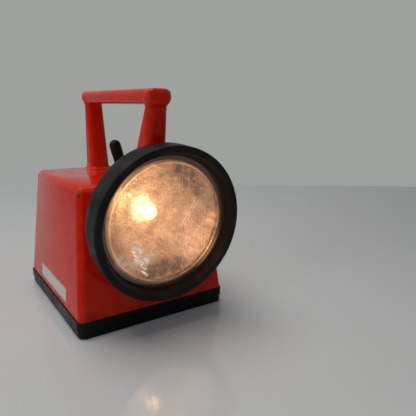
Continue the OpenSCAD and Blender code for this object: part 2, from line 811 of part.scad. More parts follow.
module bulb_cap() color(brass) in_head() {
    translate([0, 0, cap_back]) cylinder(r = cap_r, h = cap_front - cap_back);
    translate([0, 0, cap_back - cap_tip]) cylinder(r = cap_tip_r, h = cap_tip);
}

module bulb_holder() color(steel) in_head() difference() {
    union() {
        translate([0, 0, holder_back]) cylinder(r = sleeve_r, h = sleeve_front - holder_back);
        translate([0, 0, neck_back - holder_flange_t]) cylinder(r = holder_flange_r, h = holder_flange_t);
    }
    translate([0, 0, holder_back - cut])
        cylinder(r = cap_r + fit, h = sleeve_front - holder_back + 2 * cut);
}

module holder_insulator() color("#7a5a36") in_head() translate([0, 0, insulator_back]) difference() {
    cylinder(r = cap_r, h = insulator_t);
    translate([0, 0, -cut]) cylinder(r = plunger_r + fit, h = insulator_t + 2 * cut);
}

module centre_contact() color(brass) in_head() {
    translate([0, 0, plunger_back]) cylinder(r = plunger_r, h = cap_back - cap_tip - plunger_back);
    translate([0, 0, insulator_front]) cylinder(r = contact_disc_r, h = contact_disc_t);
}

module shell_tag() color(brass) in_head() translate([0, 0, shell_tag_z]) difference() {
    union() {
        cylinder(r = holder_flange_r, h = shell_tag_t);
        translate([-holder_flange_r - shell_tag_l, -shell_tag_w / 2, 0])
            cube([holder_flange_r + shell_tag_l, shell_tag_w, shell_tag_t]);
    }
    translate([0, 0, -cut]) cylinder(r = sleeve_r + fit, h = shell_tag_t + 2 * cut);
}

// Toggle switch
module switch_case() color("#2b211c") translate([0, switch_y, case_bottom]) difference() {
    linear_extrude(switch_case_h) rounded_rect(switch_case_w, switch_case_d, case_round);
    translate([0, 0, switch_case_h - tail_room_h]) cylinder(r = tail_room_r, h = tail_room_h + cut);
    for (s = sides) translate([s * switch_tab_x - switch_tab_t / 2 - fit, -switch_tab_w / 2 - fit, -cut])
        cube([switch_tab_t + 2 * fit, switch_tab_w + 2 * fit, switch_tab_root + cut]);
}

module switch_bushing() color(steel) translate([0, switch_y, 0]) difference() {
    union() {
        translate([0, 0, case_top]) linear_extrude(bushing_plate_t)
            rounded_rect(switch_case_w, switch_case_d, case_round);
        translate([0, 0, casing_ceiling - sheet])
            cylinder(r = bushing_r, h = bushing_end - casing_ceiling + sheet);
    }
    translate([0, 0, case_top - cut])
        cylinder(r = tail_room_r, h = pivot[2] - ball_seat_h - case_top + cut);
    translate([0, 0, case_top]) cylinder(r = ball_r + fit, h = bushing_end - case_top + cut);
    translate([0, 0, pivot[2]]) rotate([90, 0, 0])
        cylinder(r = pivot_pin_r + pin_press, h = 3 * bushing_r, center = true);
}

module switch_tabs() color(brass) for (s = sides)
    translate(switch_tab_end(s) - [switch_tab_t / 2, switch_tab_w / 2, 0])
        cube([switch_tab_t, switch_tab_w, switch_tab_l + switch_tab_root]);

module pivot_pin() color(steel) translate(pivot) rotate([90, 0, 0])
    cylinder(r = pivot_pin_r, h = 2 * (bushing_r - pin_end), center = true);

module boot_collar() color(black) translate([0, switch_y, casing_top_z]) difference() {
    cylinder(r = collar_r, h = collar_h);
    translate([0, 0, pivot_h]) sphere(collar_ball_r);
    translate([0, 0, -cut]) cylinder(r = collar_ball_r, h = pivot_h + cut);
}

module toggle_lever() color(steel) on_pivot() difference() {
    union() {
        sphere(ball_r);
        translate([0, 0, -tail_l]) cylinder(r = tail_r, h = tail_l);
        cylinder(r = lever_neck_r, h = toggle_l);
        translate([0, 0, lever_taper_z]) cylinder(r1 = lever_neck_r, r2 = lever_r, h = lever_taper_l);
        translate([0, 0, toggle_l]) sphere(lever_r);
    }
    rotate([90, 0, 0]) cylinder(r = pivot_pin_r + pin_fit, h = 3 * ball_r, center = true);
}

module toggle_boot() color(black) on_pivot() difference() {
    union() {
        intersection() {
            sphere(boot_ball_r);
            cylinder(r = 2 * boot_ball_r, h = 2 * boot_ball_r);
        }
        cylinder(r = boot_r, h = toggle_l);
        translate([0, 0, toggle_l]) sphere(boot_r);
    }
    sphere(boot_ball_in);
    cylinder(r = lever_neck_r + boot_grip, h = toggle_l);
    translate([0, 0, lever_taper_z])
        cylinder(r1 = lever_neck_r + boot_grip, r2 = lever_r + boot_grip, h = lever_taper_l);
    translate([0, 0, toggle_l]) sphere(lever_r + boot_grip);
}

// Leads
function push_lug_end(s) = [s * tab_x, battery_front - push_lug_gap - push_lug_l + cut - barrel_l, tab_z];
function push_lug_side(s) = [
    s * (tab_x + push_lug_w / 2 - cut + barrel_l),
    battery_front - push_lug_gap - push_lug_l / 2,
    tab_z
];
function contact_lug_end(s) = [
    s * contact_x,
    contact_y - contact_boss_r + cut - barrel_l,
    contact_boss_top + barrel_r
];
function switch_tab_end(s) = [s * switch_tab_x, switch_y, case_bottom - switch_tab_l];
function mirrored(p, s) = [for (q = p) [s * q[0], q[1], q[2]]];
beam_back = head_point([0, 0, -1]) - head_point([0, 0, 0]);
lead_butt = 0.25;
lead_stub = 3;

// A route that leaves one end straight, follows its points and meets the other end straight
function route(a, out, points, b, back) = concat(
    [for (d = [lead_butt, lead_stub / 2, lead_stub]) a + d * out],
    points,
    [for (d = [lead_stub, lead_stub / 2, lead_butt]) b + d * back]);

module switch_feed_lead() color("#b3261e")
    lead(route(push_lug_end(1), [0, -1, 0], switch_feed_points, switch_tab_end(1), [0, 0, -1]));

module lamp_feed_lead() color("#b3261e")
    lead(route(switch_tab_end(-1), [0, 0, -1], lamp_feed_points,
               head_point([0, 0, plunger_back]), beam_back));

module lamp_return_lead() color("#26282b")
    lead(route(push_lug_end(-1), [0, -1, 0], lamp_return_points,
               head_point([shell_tag_lead - holder_flange_r - shell_tag_l, 0, shell_tag_z]), beam_back));

module charge_lead(s) {
    lead(route(contact_lug_end(s), [0, -1, 0], mirrored(charge_points, s), push_lug_side(s), [s, 0, 0]));
}

module charge_lead_right() color("#b3261e") charge_lead(1);

module charge_lead_left() color("#26282b") charge_lead(-1);

casing();
carry_handle();
handle_screws();
base_tray();
tray_seal();
tray_screws();
charging_contacts();
contact_nuts();
contact_lugs();
battery();
battery_tabs();
battery_lugs();
battery_strap();
strap_screws();
bezel_ring();
lens();
lens_seal();
reflector();
bulb_glass();
bulb_filament();
bulb_cap();
bulb_holder();
holder_insulator();
centre_contact();
shell_tag();
switch_case();
switch_bushing();
switch_tabs();
pivot_pin();
boot_collar();
toggle_lever();
toggle_boot();
switch_feed_lead();
lamp_feed_lead();
lamp_return_lead();
charge_lead_right();
charge_lead_left();
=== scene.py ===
"""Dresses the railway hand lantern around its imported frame: skins, finishes, studio and camera.

Sizes are in millimetres, in the frame of the solids; meshes are written in metres.
"""
import logging
import math
import operator
from dataclasses import dataclass
from enum import Enum
from functools import reduce
from typing import Callable, Iterable, Optional, Sequence, Union

import bmesh
import bpy
import numpy as np
from mathutils import Matrix, Vector


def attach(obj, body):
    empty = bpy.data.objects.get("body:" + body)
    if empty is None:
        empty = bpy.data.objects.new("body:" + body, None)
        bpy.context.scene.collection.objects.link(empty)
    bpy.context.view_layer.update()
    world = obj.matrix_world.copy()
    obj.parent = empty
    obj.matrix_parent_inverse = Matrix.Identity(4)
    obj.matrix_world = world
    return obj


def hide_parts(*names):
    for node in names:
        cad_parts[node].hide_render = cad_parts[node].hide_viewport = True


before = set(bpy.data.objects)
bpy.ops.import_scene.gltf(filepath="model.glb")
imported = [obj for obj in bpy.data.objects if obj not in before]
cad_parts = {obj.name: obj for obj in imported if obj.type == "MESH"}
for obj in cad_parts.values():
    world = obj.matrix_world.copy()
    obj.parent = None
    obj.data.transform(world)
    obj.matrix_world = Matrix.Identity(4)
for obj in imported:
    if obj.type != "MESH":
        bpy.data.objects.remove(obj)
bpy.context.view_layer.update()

MM = 0.001
SETTLE_ROUNDS = 4
SETTLE_STEP = 1.0
LEAST_SQUARE = 0.1
ON_AXIS = 1e-6
SOLID_SHARE = 0.2
BEVEL_SAMPLES = 6
log = logging.getLogger("lantern")

# Cloudy noise: features per metre, octaves, and where in its range a pattern starts and is full
Cloud = tuple[float, float, float, float]
Array = np.ndarray
Distance = Callable[[Array], Array]
Key = Union[str, int]
Material = bpy.types.Material
Mesh = bpy.types.Mesh
Numbers = Sequence[float]
Piece = bpy.types.Object
Profile = list[tuple[float, float]]
Socket = bpy.types.NodeSocket
Value = Union["Signal", Socket, Material, float, Numbers]


class Body(str, Enum):
    """The bodies that pieces ride on."""

    LANTERN = "lantern"
    TOGGLE = "toggle"


# Distances


def unite(a: Array, b: Array, r: float) -> Array:
    """Union of two distances with a fillet of radius r."""
    fillet = np.hypot(np.maximum(r - a, 0), np.maximum(r - b, 0))
    return np.maximum(r, np.minimum(a, b)) - fillet


def meet(distances: Sequence[Array], r: float) -> Array:
    """Intersection of several half spaces with edges rounded by radius r."""
    q = np.stack(distances, -1) + r
    return np.minimum(q.max(-1), 0) + np.linalg.norm(np.maximum(q, 0), axis=-1) - r


def gradient(shape: Distance, p: Array, h: float = 0.02) -> Array:
    """Slope of a distance at points, measured over a step of h to each side."""
    return np.stack([(shape(p + e) - shape(p - e)) / (2 * h) for e in np.eye(3) * h], -1)


def settle(shape: Distance, p: Array, level: float = 0.0, keep_z: bool = False) -> Array:
    """Moves points onto a shape's surface.

    Args:
        shape: The distance.
        p: Points close to the surface.
        level: The distance at which they end.
        keep_z: Whether they keep their height.

    Returns:
        The moved points.
    """
    for _ in range(SETTLE_ROUNDS):
        g = gradient(shape, p)
        if keep_z:
            g[:, 2] = 0
        step = (shape(p) - level) / np.maximum((g * g).sum(-1), LEAST_SQUARE)
        p = p - np.clip(step, -SETTLE_STEP, SETTLE_STEP)[:, None] * g
    return p


def edge_wear(shape: Distance, p: Array, h: float = 0.6, gain: float = 2.2) -> Array:
    """How sharply a surface bends outwards, from 0 where it is flat or hollow to 1."""
    total = sum(shape(p + e) + shape(p - e) for e in np.eye(3) * h) - 6 * shape(p)
    return np.clip(gain * total / (h * h), 0, 1)


def surface_net(shape: Distance, low: Numbers, high: Numbers, step: float) -> tuple[Array, Array]:
    """Meshes a shape with one point in each grid cell that its surface crosses.

    Args:
        shape: The distance.
        low: Lowest corner of the grid.
        high: Highest corner of the grid.
        step: Size of a cell.

    Returns:
        Points and four-sided faces.
    """
    low = np.asarray(low, float)
    count = np.ceil((np.asarray(high, float) - low) / step).astype(int) + 1
    grid = np.stack(np.meshgrid(*map(np.arange, count), indexing="ij"), -1)
    value = shape((low + step * grid).reshape(-1, 3)).reshape(count)
    hits = np.zeros(count + 1)
    total = np.zeros((*hits.shape, 3))
    crossings = []
    for axis in range(3):
        along, across, up = np.roll(np.eye(3, dtype=int), -axis, 0)
        first = np.take(value, range(count[axis] - 1), axis)
        second = np.take(value, range(1, count[axis]), axis)
        where = np.argwhere((first < 0) != (second < 0))
        first, second = first[tuple(where.T)], second[tuple(where.T)]
        crossing = where + (first / (first - second))[:, None] * along
        cells = [tuple((where + 1 - i * across - j * up).T) for i, j in ((1, 1), (0, 1), (0, 0), (1, 0))]
        for cell in cells:
            np.add.at(total, cell, crossing)
            np.add.at(hits, cell, 1)
        crossings.append((cells, first >= 0))
    used = np.pad(hits[1:-1, 1:-1, 1:-1] > 0, 1)
    number = np.where(used, np.cumsum(used).reshape(used.shape) - 1, -1)
    points = low + step * total[used] / hits[used][:, None]
    faces = []
    for cells, turned_over in crossings:
        quads = np.stack([number[cell] for cell in cells], -1)
        quads[turned_over] = quads[turned_over][:, ::-1]
        faces.append(quads[(quads >= 0).all(-1)])
    return points, np.concatenate(faces)


# Meshes


def add_object(name: str, mesh: Mesh, material: Material) -> Piece:
    """Puts a mesh in the scene.

    Args:
        name: Name of the piece.
        mesh: Its mesh, in metres and in place.
        material: Its finish.

    Returns:
        The new piece, at the origin.
    """
    mesh.materials.clear()
    mesh.materials.append(material)
    piece = bpy.data.objects.new(name, mesh)
    bpy.context.scene.collection.objects.link(piece)
    return piece


def to_mesh(name: str, points: Array, faces: Iterable[Sequence[int]]) -> Mesh:
    """Makes a smooth-shaded mesh.

    Args:
        name: Name of the mesh.
        points: Points in millimetres.
        faces: Corner numbers of each face.

    Returns:
        The mesh, in metres.
    """
    mesh = bpy.data.meshes.new(name)
    mesh.from_pydata((np.asarray(points) * MM).tolist(), [], [list(map(int, f)) for f in faces])
    mesh.validate()
    mesh.update()
    mesh.polygons.foreach_set("use_smooth", [True] * len(mesh.polygons))
    return mesh


def give(mesh: Mesh, name: str, values: Array) -> None:
    """Stores a number per point for a finish to read."""
    layer = mesh.attributes.new(name, "FLOAT", "POINT")
    layer.data.foreach_set("value", np.asarray(values, np.float32))


def points_of(mesh: Mesh) -> Array:
    """A mesh's points in millimetres."""
    return np.array([tuple(v.co) for v in mesh.vertices]) / MM


def evaluated(carrier: Piece) -> Mesh:
    """The mesh that a carrier's modifiers make of it."""
    bpy.context.view_layer.update()
    return bpy.data.meshes.new_from_object(carrier.evaluated_get(bpy.context.evaluated_depsgraph_get()))


def lathe(name: str, profile: Profile, turns: int, at: Matrix) -> Mesh:
    """Turns a closed or axis-to-axis profile round its axis.

    Args:
        name: Name of the mesh.
        profile: Points (radius, height) with the outside on the right hand going up.
        turns: Number of segments.
        at: Where the axis stands, in millimetres.

    Returns:
        The mesh.
    """
    closed = profile[0][0] > ON_AXIS and profile[-1][0] > ON_AXIS
    angles = [2 * math.pi * k / turns for k in range(turns)]
    points: list[tuple[float, float, float]] = []
    rows: list[list[int]] = []
    for r, z in profile:
        ring = [(r * math.cos(a), r * math.sin(a), z) for a in (angles if r > ON_AXIS else angles[:1])]
        rows.append([len(points) + k % len(ring) for k in range(turns)])
        points += ring
    faces = []
    for below, above in zip(rows, rows[1:] + rows[:closed]):
        for k in range(turns):
            n = (k + 1) % turns
            faces.append(list(dict.fromkeys((below[k], below[n], above[n], above[k]))))
    world = np.array(points) @ np.array(at.to_3x3()).T + np.array(at.translation)
    return to_mesh(name, world, [f for f in faces if len(f) > 2])


def creased(mesh: Mesh, degrees: float) -> Mesh:
    """Keeps edges crisp where faces meet at more than an angle.

    Args:
        mesh: The mesh, which is changed.
        degrees: The angle.

    Returns:
        The same mesh.
    """
    bm = bmesh.new()
    bm.from_mesh(mesh)
    for edge in bm.edges:
        edge.smooth = edge.calc_face_angle(0.0) < math.radians(degrees)
    bm.to_mesh(mesh)
    bm.free()
    return mesh


def corner_arc(middle: Numbers, r: float, start: float, end: float, steps: int) -> Profile:
    """Points of an arc in a profile, from one angle to another in degrees."""
    angles = [math.radians(start + (end - start) * i / steps) for i in range(steps + 1)]
    return [(middle[0] + r * math.cos(a), middle[1] + r * math.sin(a)) for a in angles]


def outline(marks: Iterable[Numbers]) -> Profile:
    """A profile from points (r, z) and arcs (r, z, radius, start, end, steps)."""
    runs = ([mark] if len(mark) == 2 else corner_arc(mark[:2], *mark[2:]) for mark in marks)
    return [point for run in runs for point in run]


def skin(name: str, shape: Distance, corners: Sequence[Numbers], step: float, material: Material) -> Piece:
    """Meshes a shape, with its exact normals and its edge wear.

    Args:
        name: Name of the piece.
        shape: Its distance.
        corners: Lowest and highest corner of the space it is in.
        step: Size of the mesh's faces.
        material: Its finish.

    Returns:
        The piece.
    """
    points, faces = surface_net(shape, *corners, step)
    mesh = to_mesh(name, settle(shape, points), faces)
    p = points_of(mesh)
    give(mesh, "edge", edge_wear(shape, p))
    mesh.normals_split_custom_set_from_vertices(gradient(shape, p).tolist())
    return add_object(name, mesh, material)


def place(piece: Piece, body: Body, slot: Optional[str], *nodes: str) -> None:
    """Ties a piece to its body and hides the nodes it stands for.

    Args:
        piece: The piece.
        body: The body it rides on.
        slot: The record's material slot, if it has one; not used.
        nodes: The nodes it stands for.
    """
    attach(piece, body.value)
    if nodes:
        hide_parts(*nodes)
    log.info("%s: %d faces", piece.name, len(piece.data.polygons))


# Node trees


@dataclass(frozen=True)
class Signal:
    """An output of a node, with arithmetic that adds nodes."""

    nodes: "Nodes"
    socket: Socket

    def __mul__(self, other: Value) -> "Signal":
        """The product."""
        return self.nodes.math("MULTIPLY", self, other)

    def __add__(self, other: Value) -> "Signal":
        """The sum."""
        return self.nodes.math("ADD", self, other)

    def __sub__(self, other: Value) -> "Signal":
        """The difference."""
        return self.nodes.math("SUBTRACT", self, other)

    def __or__(self, other: Value) -> "Signal":
        """The larger of the two."""
        return self.nodes.math("MAXIMUM", self, other)

    def __invert__(self) -> "Signal":
        """What a mask leaves of 1."""
        return self.nodes.math("SUBTRACT", 1.0, self)


class Nodes:
    """A node tree, with short calls for adding nodes."""

    def __init__(self, tree: bpy.types.NodeTree) -> None:
        """Takes the tree that the nodes are added to."""
        self.tree = tree

    def put(self, socket: Socket, value: Value) -> None:
        """Links a socket to an output, or sets its value.

        Args:
            socket: The input.
            value: What it gets.
        """
        if isinstance(value, Signal):
            value = value.socket
        if isinstance(value, Socket):
            self.tree.links.new(value, socket)
        elif isinstance(value, tuple) and socket.type == "RGBA":
            socket.default_value = (*value, 1.0)
        else:
            socket.default_value = value

    def out(self, kind: str, values: dict[Key, Value], output: Key = 0, **settings: object) -> Signal:
        """Adds a node.

        Args:
            kind: Type of the node.
            values: Values or links of its inputs.
            output: Which of its outputs is wanted.
            settings: Its other settings.

        Returns:
            The output.
        """
        made = self.tree.nodes.new(kind)
        for key, value in settings.items():
            setattr(made, key, value)
        for key, value in values.items():
            self.put(made.inputs[key], value)
        return Signal(self, made.outputs[output])

    def math(self, operation: str, a: Value, b: Value = 0.0) -> Signal:
        """One arithmetic step."""
        return self.out("ShaderNodeMath", {0: a, 1: b}, operation=operation)

    def vector(self, operation: str, a: Value, b: Value, output: str = "Vector") -> Signal:
        """One vector step."""
        return self.out("ShaderNodeVectorMath", {0: a, 1: b}, output, operation=operation)

    def span(self, value: Signal, low: float, high: float, to: Numbers = (0.0, 1.0)) -> Signal:
        """Maps the range from low to high smoothly onto another."""
        values = {"Value": value, "From Min": low, "From Max": high, "To Min": to[0], "To Max": to[1]}
        return self.out("ShaderNodeMapRange", values, interpolation_type="SMOOTHSTEP")


class Growth(Nodes):
    """A geometry tree that sets a shape on points, with a named input for each of its sizes."""

    def __init__(self, name: str, sizes: dict[str, float]) -> None:
        """Makes the tree and its inputs.

        Args:
            name: Name of the tree and of its mesh.
            sizes: Value of each input, in millimetres.
        """
        super().__init__(bpy.data.node_groups.new(name, "GeometryNodeTree"))
        self.name = name
        self.sizes = sizes
        for size in sizes:
            self.tree.interface.new_socket(name=size, in_out="INPUT", socket_type="NodeSocketFloat")
        self.tree.interface.new_socket(name="Mesh", in_out="OUTPUT", socket_type="NodeSocketGeometry")
        inputs = self.tree.nodes.new("NodeGroupInput").outputs
        self.given = {size: Signal(self, inputs[size]) for size in sizes}

    def mesh(self, points: Signal, shape: Signal, material: Material) -> Mesh:
        """Ends the tree and takes its result as a plain mesh.

        Args:
            points: Where the shapes stand.
            shape: The shape.
            material: Its finish.

        Returns:
            The mesh.
        """
        spread = self.out("GeometryNodeInstanceOnPoints", {"Points": points, "Instance": shape})
        real = self.out("GeometryNodeRealizeInstances", {0: spread})
        dressed = self.out("GeometryNodeSetMaterial", {0: real, "Material": material})
        self.put(self.tree.nodes.new("NodeGroupOutput").inputs[0], dressed)
        carrier = bpy.data.objects.new(self.name, bpy.data.meshes.new(self.name))
        bpy.context.scene.collection.objects.link(carrier)
        modifier = carrier.modifiers.new("grow", "NODES")
        modifier.node_group = self.tree
        for item in self.tree.interface.items_tree:
            if item.in_out == "INPUT":
                modifier[item.identifier] = self.sizes[item.name] * MM
        mesh = evaluated(carrier)
        bpy.data.objects.remove(carrier)
        mesh.name = self.name
        return mesh


class Shader(Nodes):
    """A material's node tree, with short calls for the nodes that the finishes use."""

    def __init__(self, name: str) -> None:
        """Makes a material with one principled shader.

        Args:
            name: Name of the material.
        """
        self.material = bpy.data.materials.new(name)
        self.material.use_nodes = True
        super().__init__(self.material.node_tree)
        self.tree.nodes.clear()
        self.surface = self.tree.nodes.new("ShaderNodeBsdfPrincipled")
        output = self.tree.nodes.new("ShaderNodeOutputMaterial")
        self.put(output.inputs["Surface"], self.surface.outputs[0])
        self.place = self.out("ShaderNodeTexCoord", {}, "Object")

    def stretched(self, factors: Numbers, turn: Numbers = (0, 0, 0)) -> Signal:
        """Coordinates scaled along each axis and turned about it, in degrees."""
        values = {"Vector": self.place, "Scale": factors, "Rotation": tuple(map(math.radians, turn))}
        return self.out("ShaderNodeMapping", values)

    def noise(self, scale: float, detail: float = 3.0, at: Optional[Signal] = None) -> Signal:
        """Cloudy noise with a number of features per metre and of octaves."""
        return self.out("ShaderNodeTexNoise", {"Vector": at or self.place, "Scale": scale, "Detail": detail})

    def cloud(self, scale: float, detail: float, low: float, high: float, to: Numbers = (0.0, 1.0)) -> Signal:
        """Cloudy noise of which the part from low to high is mapped onto another range."""
        return self.span(self.noise(scale, detail), low, high, to)

    def cells(self, scale: float, at: Signal, output: str, feature: str) -> Signal:
        """Cell noise with a number of cells per metre."""
        return self.out("ShaderNodeTexVoronoi", {"Vector": at, "Scale": scale}, output, feature=feature)

    def hairs(self, scale: float, at: Signal, width: float, patches: Signal) -> Signal:
        """Fine scratches along the borders of cells, where patches lets them show."""
        border = self.cells(scale, at, "Distance", "DISTANCE_TO_EDGE")
        return self.span(border, 0.0, width, (1, 0)) * patches

    def mix(self, share: Value, a: Value, b: Value) -> Signal:
        """Mixes two colours by the share of the second."""
        return self.out("ShaderNodeMix", {0: share, 6: a, 7: b}, 2, data_type="RGBA")

    def attribute(self, name: str) -> Signal:
        """A number stored on the mesh."""
        return self.out("ShaderNodeAttribute", {}, "Fac", attribute_name=name)

    def height(self) -> Signal:
        """The place's height, in metres."""
        return self.out("ShaderNodeSeparateXYZ", {0: self.place}, "Z")

    def near(self, point: Numbers, inner: float, outer: float) -> Signal:
        """A soft ball round a point: 1 inside its inner radius and 0 outside its outer one."""
        gap = self.vector("DISTANCE", self.place, tuple(c * MM for c in point), "Value")
        return self.span(gap, inner * MM, outer * MM, (1.0, 0.0))

    def stroke(self, start: Numbers, end: Numbers, half_w: float) -> Signal:
        """A thin straight mark.

        Args:
            start: One end, in millimetres.
            end: Other end.
            half_w: Half its width.

        Returns:
            The mask.
        """
        a = Vector(start) * MM
        way = Vector(end) * MM - a
        along = self.vector("SUBTRACT", self.place, tuple(a))
        share = self.vector("DOT_PRODUCT", along, tuple(way / way.length_squared), "Value")
        share = self.math("MINIMUM", share | 0.0, 1.0)
        nearest = self.out("ShaderNodeVectorMath", {0: tuple(way), "Scale": share}, operation="SCALE")
        gap = self.vector("DISTANCE", self.place, self.vector("ADD", tuple(a), nearest), "Value")
        return self.span(gap, SOLID_SHARE * half_w * MM, half_w * MM, (1.0, 0.0))

    def most(self, masks: Iterable[Signal]) -> Signal:
        """The strongest of several masks."""
        return reduce(operator.or_, masks)

    def bump(self, height: Signal, depth: float, below: Optional[Signal] = None) -> Signal:
        """Relief from a height, as deep as depth where it is 1, on top of another relief."""
        values = {"Height": height, "Distance": depth * MM, "Strength": 1.0}
        return self.out("ShaderNodeBump", {**values, "Normal": below} if below else values)

    def rounded(self, r: float) -> Signal:
        """Softens edges in the shading only."""
        return self.out("ShaderNodeBevel", {"Radius": r * MM}, samples=BEVEL_SAMPLES)

    def finish(self, values: dict[str, Value]) -> Material:
        """Sets the principled shader's inputs.

        Args:
            values: Value or link of each input.

        Returns:
            The material.
        """
        for key, value in values.items():
            self.put(self.surface.inputs[key], value)
        return self.material


# Finishes


@dataclass(frozen=True)
class Enamel:
    """Glossy orange-red enamel with chips, scuffs and grime."""

    name: str = "red_enamel"
    red: tuple = (0.62, 0.012, 0.0008)
    deep: tuple = (0.585, 0.0105, 0.0007)
    scuff: tuple = (0.66, 0.085, 0.03)
    primer: tuple = (0.05, 0.055, 0.045)
    grime: tuple = (0.12, 0.012, 0.006)
    gloss_tint: tuple = (1.0, 0.93, 0.75)
    chips: tuple = ((-54.4, -58.4, 105.0), (8.2, -82.6, 179.5), (6.0, -83.6, 180.5))
    chip_r: tuple = (0.2, 2.6)
    grime_z: tuple = (0.013, 0.026)
    rough: float = 0.06
    mottled: Cloud = (26.0, 4.0, 0.3, 0.75)
    scratched: Cloud = (24.0, 3.0, 0.52, 0.64)
    rubbed: Cloud = (90.0, 5.0, 0.42, 0.66)
    flecked: Cloud = (520.0, 2.0, 0.7, 0.76)
    dirty: Cloud = (120.0, 5.0, 0.4, 0.7)
    sheen: Cloud = (60.0, 4.0, 0.3, 0.75)

    def make(self) -> Material:
        """Builds the material.

        Returns:
            The material.
        """
        s = Shader(self.name)
        edge = s.attribute("edge")
        colour = s.mix(s.cloud(*self.mottled), self.red, self.deep)
        patches = s.cloud(*self.scratched)
        hair = s.hairs(55.0, s.stretched((1, 1, 0.16), (28, 16, 8)), 0.01, patches)
        rub = edge * s.cloud(*self.rubbed)
        scuffed = hair * 0.4 | s.cloud(*self.flecked) * 0.2 | rub * 0.45
        colour = s.mix(scuffed, colour, self.scuff)
        low = s.span(s.height(), *self.grime_z, (1, 0)) * s.cloud(*self.dirty)
        colour = s.mix(low * 0.6, colour, self.grime)
        spots = s.most(s.near(point, *self.chip_r) for point in self.chips)
        chip = s.span(spots * (s.noise(430.0) + 0.35), 0.44, 0.5)
        chip = chip | s.span(edge * s.noise(210.0, 4.0), 0.6, 0.63)
        colour = s.mix(chip, colour, self.primer)
        peel = s.bump(s.noise(330.0, 2.0), 0.012)
        rough = s.cloud(*self.sheen, (self.rough, self.rough + 0.025))
        return s.finish({
            "Base Color": colour, "Roughness": rough + (chip | scuffed) * 0.25,
            "Normal": s.bump(~chip, 0.16, peel), "IOR": 1.5,
            "Specular IOR Level": 0.16, "Specular Tint": self.gloss_tint,
        })


@dataclass(frozen=True)
class Rubber:
    """Black rubber with a bloom of dust and fine scuffs, and painted lamplight on the bezel's inner slope."""

    name: str
    black: tuple = (0.0045, 0.0044, 0.0043)
    dust: tuple = (0.03, 0.029, 0.027)
    rough: float = 0.46
    dusty: float = 0.5
    painted_lamplight: tuple = (0.034, 0.02, 0.013)
    bloomed: Cloud = (70.0, 6.0, 0.42, 0.78)
    sheen: Cloud = (90.0, 4.0, 0.3, 0.7)

    def make(self) -> Material:
        """Builds the material.

        Returns:
            The material.
        """
        s = Shader(self.name)
        streak = s.noise(260.0, 3.0, s.stretched((1, 1, 0.2), (20, 0, 30)))
        bloom = s.cloud(*self.bloomed) * self.dusty | s.span(streak, 0.6, 0.75) * 0.35
        colour = s.mix(bloom, self.black, self.dust)
        grain = s.bump(s.noise(1500.0, 2.0), 0.02)
        return s.finish({
            # The bezel's inner slope (the slope mark) gets a warm brown: painted lamplight from the lens
            "Base Color": s.mix(s.attribute("slope"), colour, self.painted_lamplight),
            "Roughness": s.cloud(*self.sheen, (self.rough, self.rough + 0.14)),
            "Normal": s.bump(s.noise(160.0), 0.05, grain), "Specular IOR Level": 0.18,
        })


@dataclass(frozen=True)
class Moulding:
    """A moulded plastic or board with softened edges, flow marks and scratches."""

    name: str
    colour: tuple
    light: tuple
    rough: float = 0.34
    round_edges: float = 0.5
    gloss: float = 0.3
    scratched: Cloud = (40.0, 3.0, 0.45, 0.6)
    faded: Cloud = (55.0, 5.0, 0.5, 0.85)
    sheen: Cloud = (45.0, 5.0, 0.3, 0.75)

    def make(self) -> Material:
        """Builds the material.

        Returns:
            The material.
        """
        s = Shader(self.name)
        patches = s.cloud(*self.scratched)
        hair = s.hairs(80.0, s.stretched((0.2, 1, 1), (0, 12, 24)), 0.02, patches)
        worn = hair * 0.5 | s.cloud(*self.faded)
        return s.finish({
            "Base Color": s.mix(worn, self.colour, self.light),
            "Roughness": s.cloud(*self.sheen, (self.rough, self.rough + 0.16)),
            "Normal": s.bump(s.noise(900.0, 2.0), 0.015, s.rounded(self.round_edges)),
            "Specular IOR Level": self.gloss,
        })


@dataclass(frozen=True)
class Metal:
    """Bare or plated metal with fine brushing and tarnish, lit by the bulb where it is near."""

    name: str
    colour: tuple
    tarnish: tuple
    rough: float = 0.3
    lit: float = 0.0
    lit_at: tuple = (0.0, -47.0, 88.2)
    lit_r: tuple = (6.0, 11.0)
    lamplight: tuple = (1.0, 0.66, 0.3)
    stained: Cloud = (140.0, 5.0, 0.45, 0.75)

    def make(self) -> Material:
        """Builds the material.

        Returns:
            The material.
        """
        s = Shader(self.name)
        brush = s.noise(900.0, 2.0, s.stretched((1, 0.08, 1)))
        return s.finish({
            "Base Color": s.mix(s.cloud(*self.stained), self.colour, self.tarnish), "Metallic": 1.0,
            "Roughness": s.span(brush, 0.3, 0.7, (self.rough, self.rough + 0.18)),
            "Normal": s.bump(brush, 0.01, s.rounded(0.2)), "Emission Color": self.lamplight,
            "Emission Strength": s.near(self.lit_at, *self.lit_r) * self.lit if self.lit else 0.0,
        })


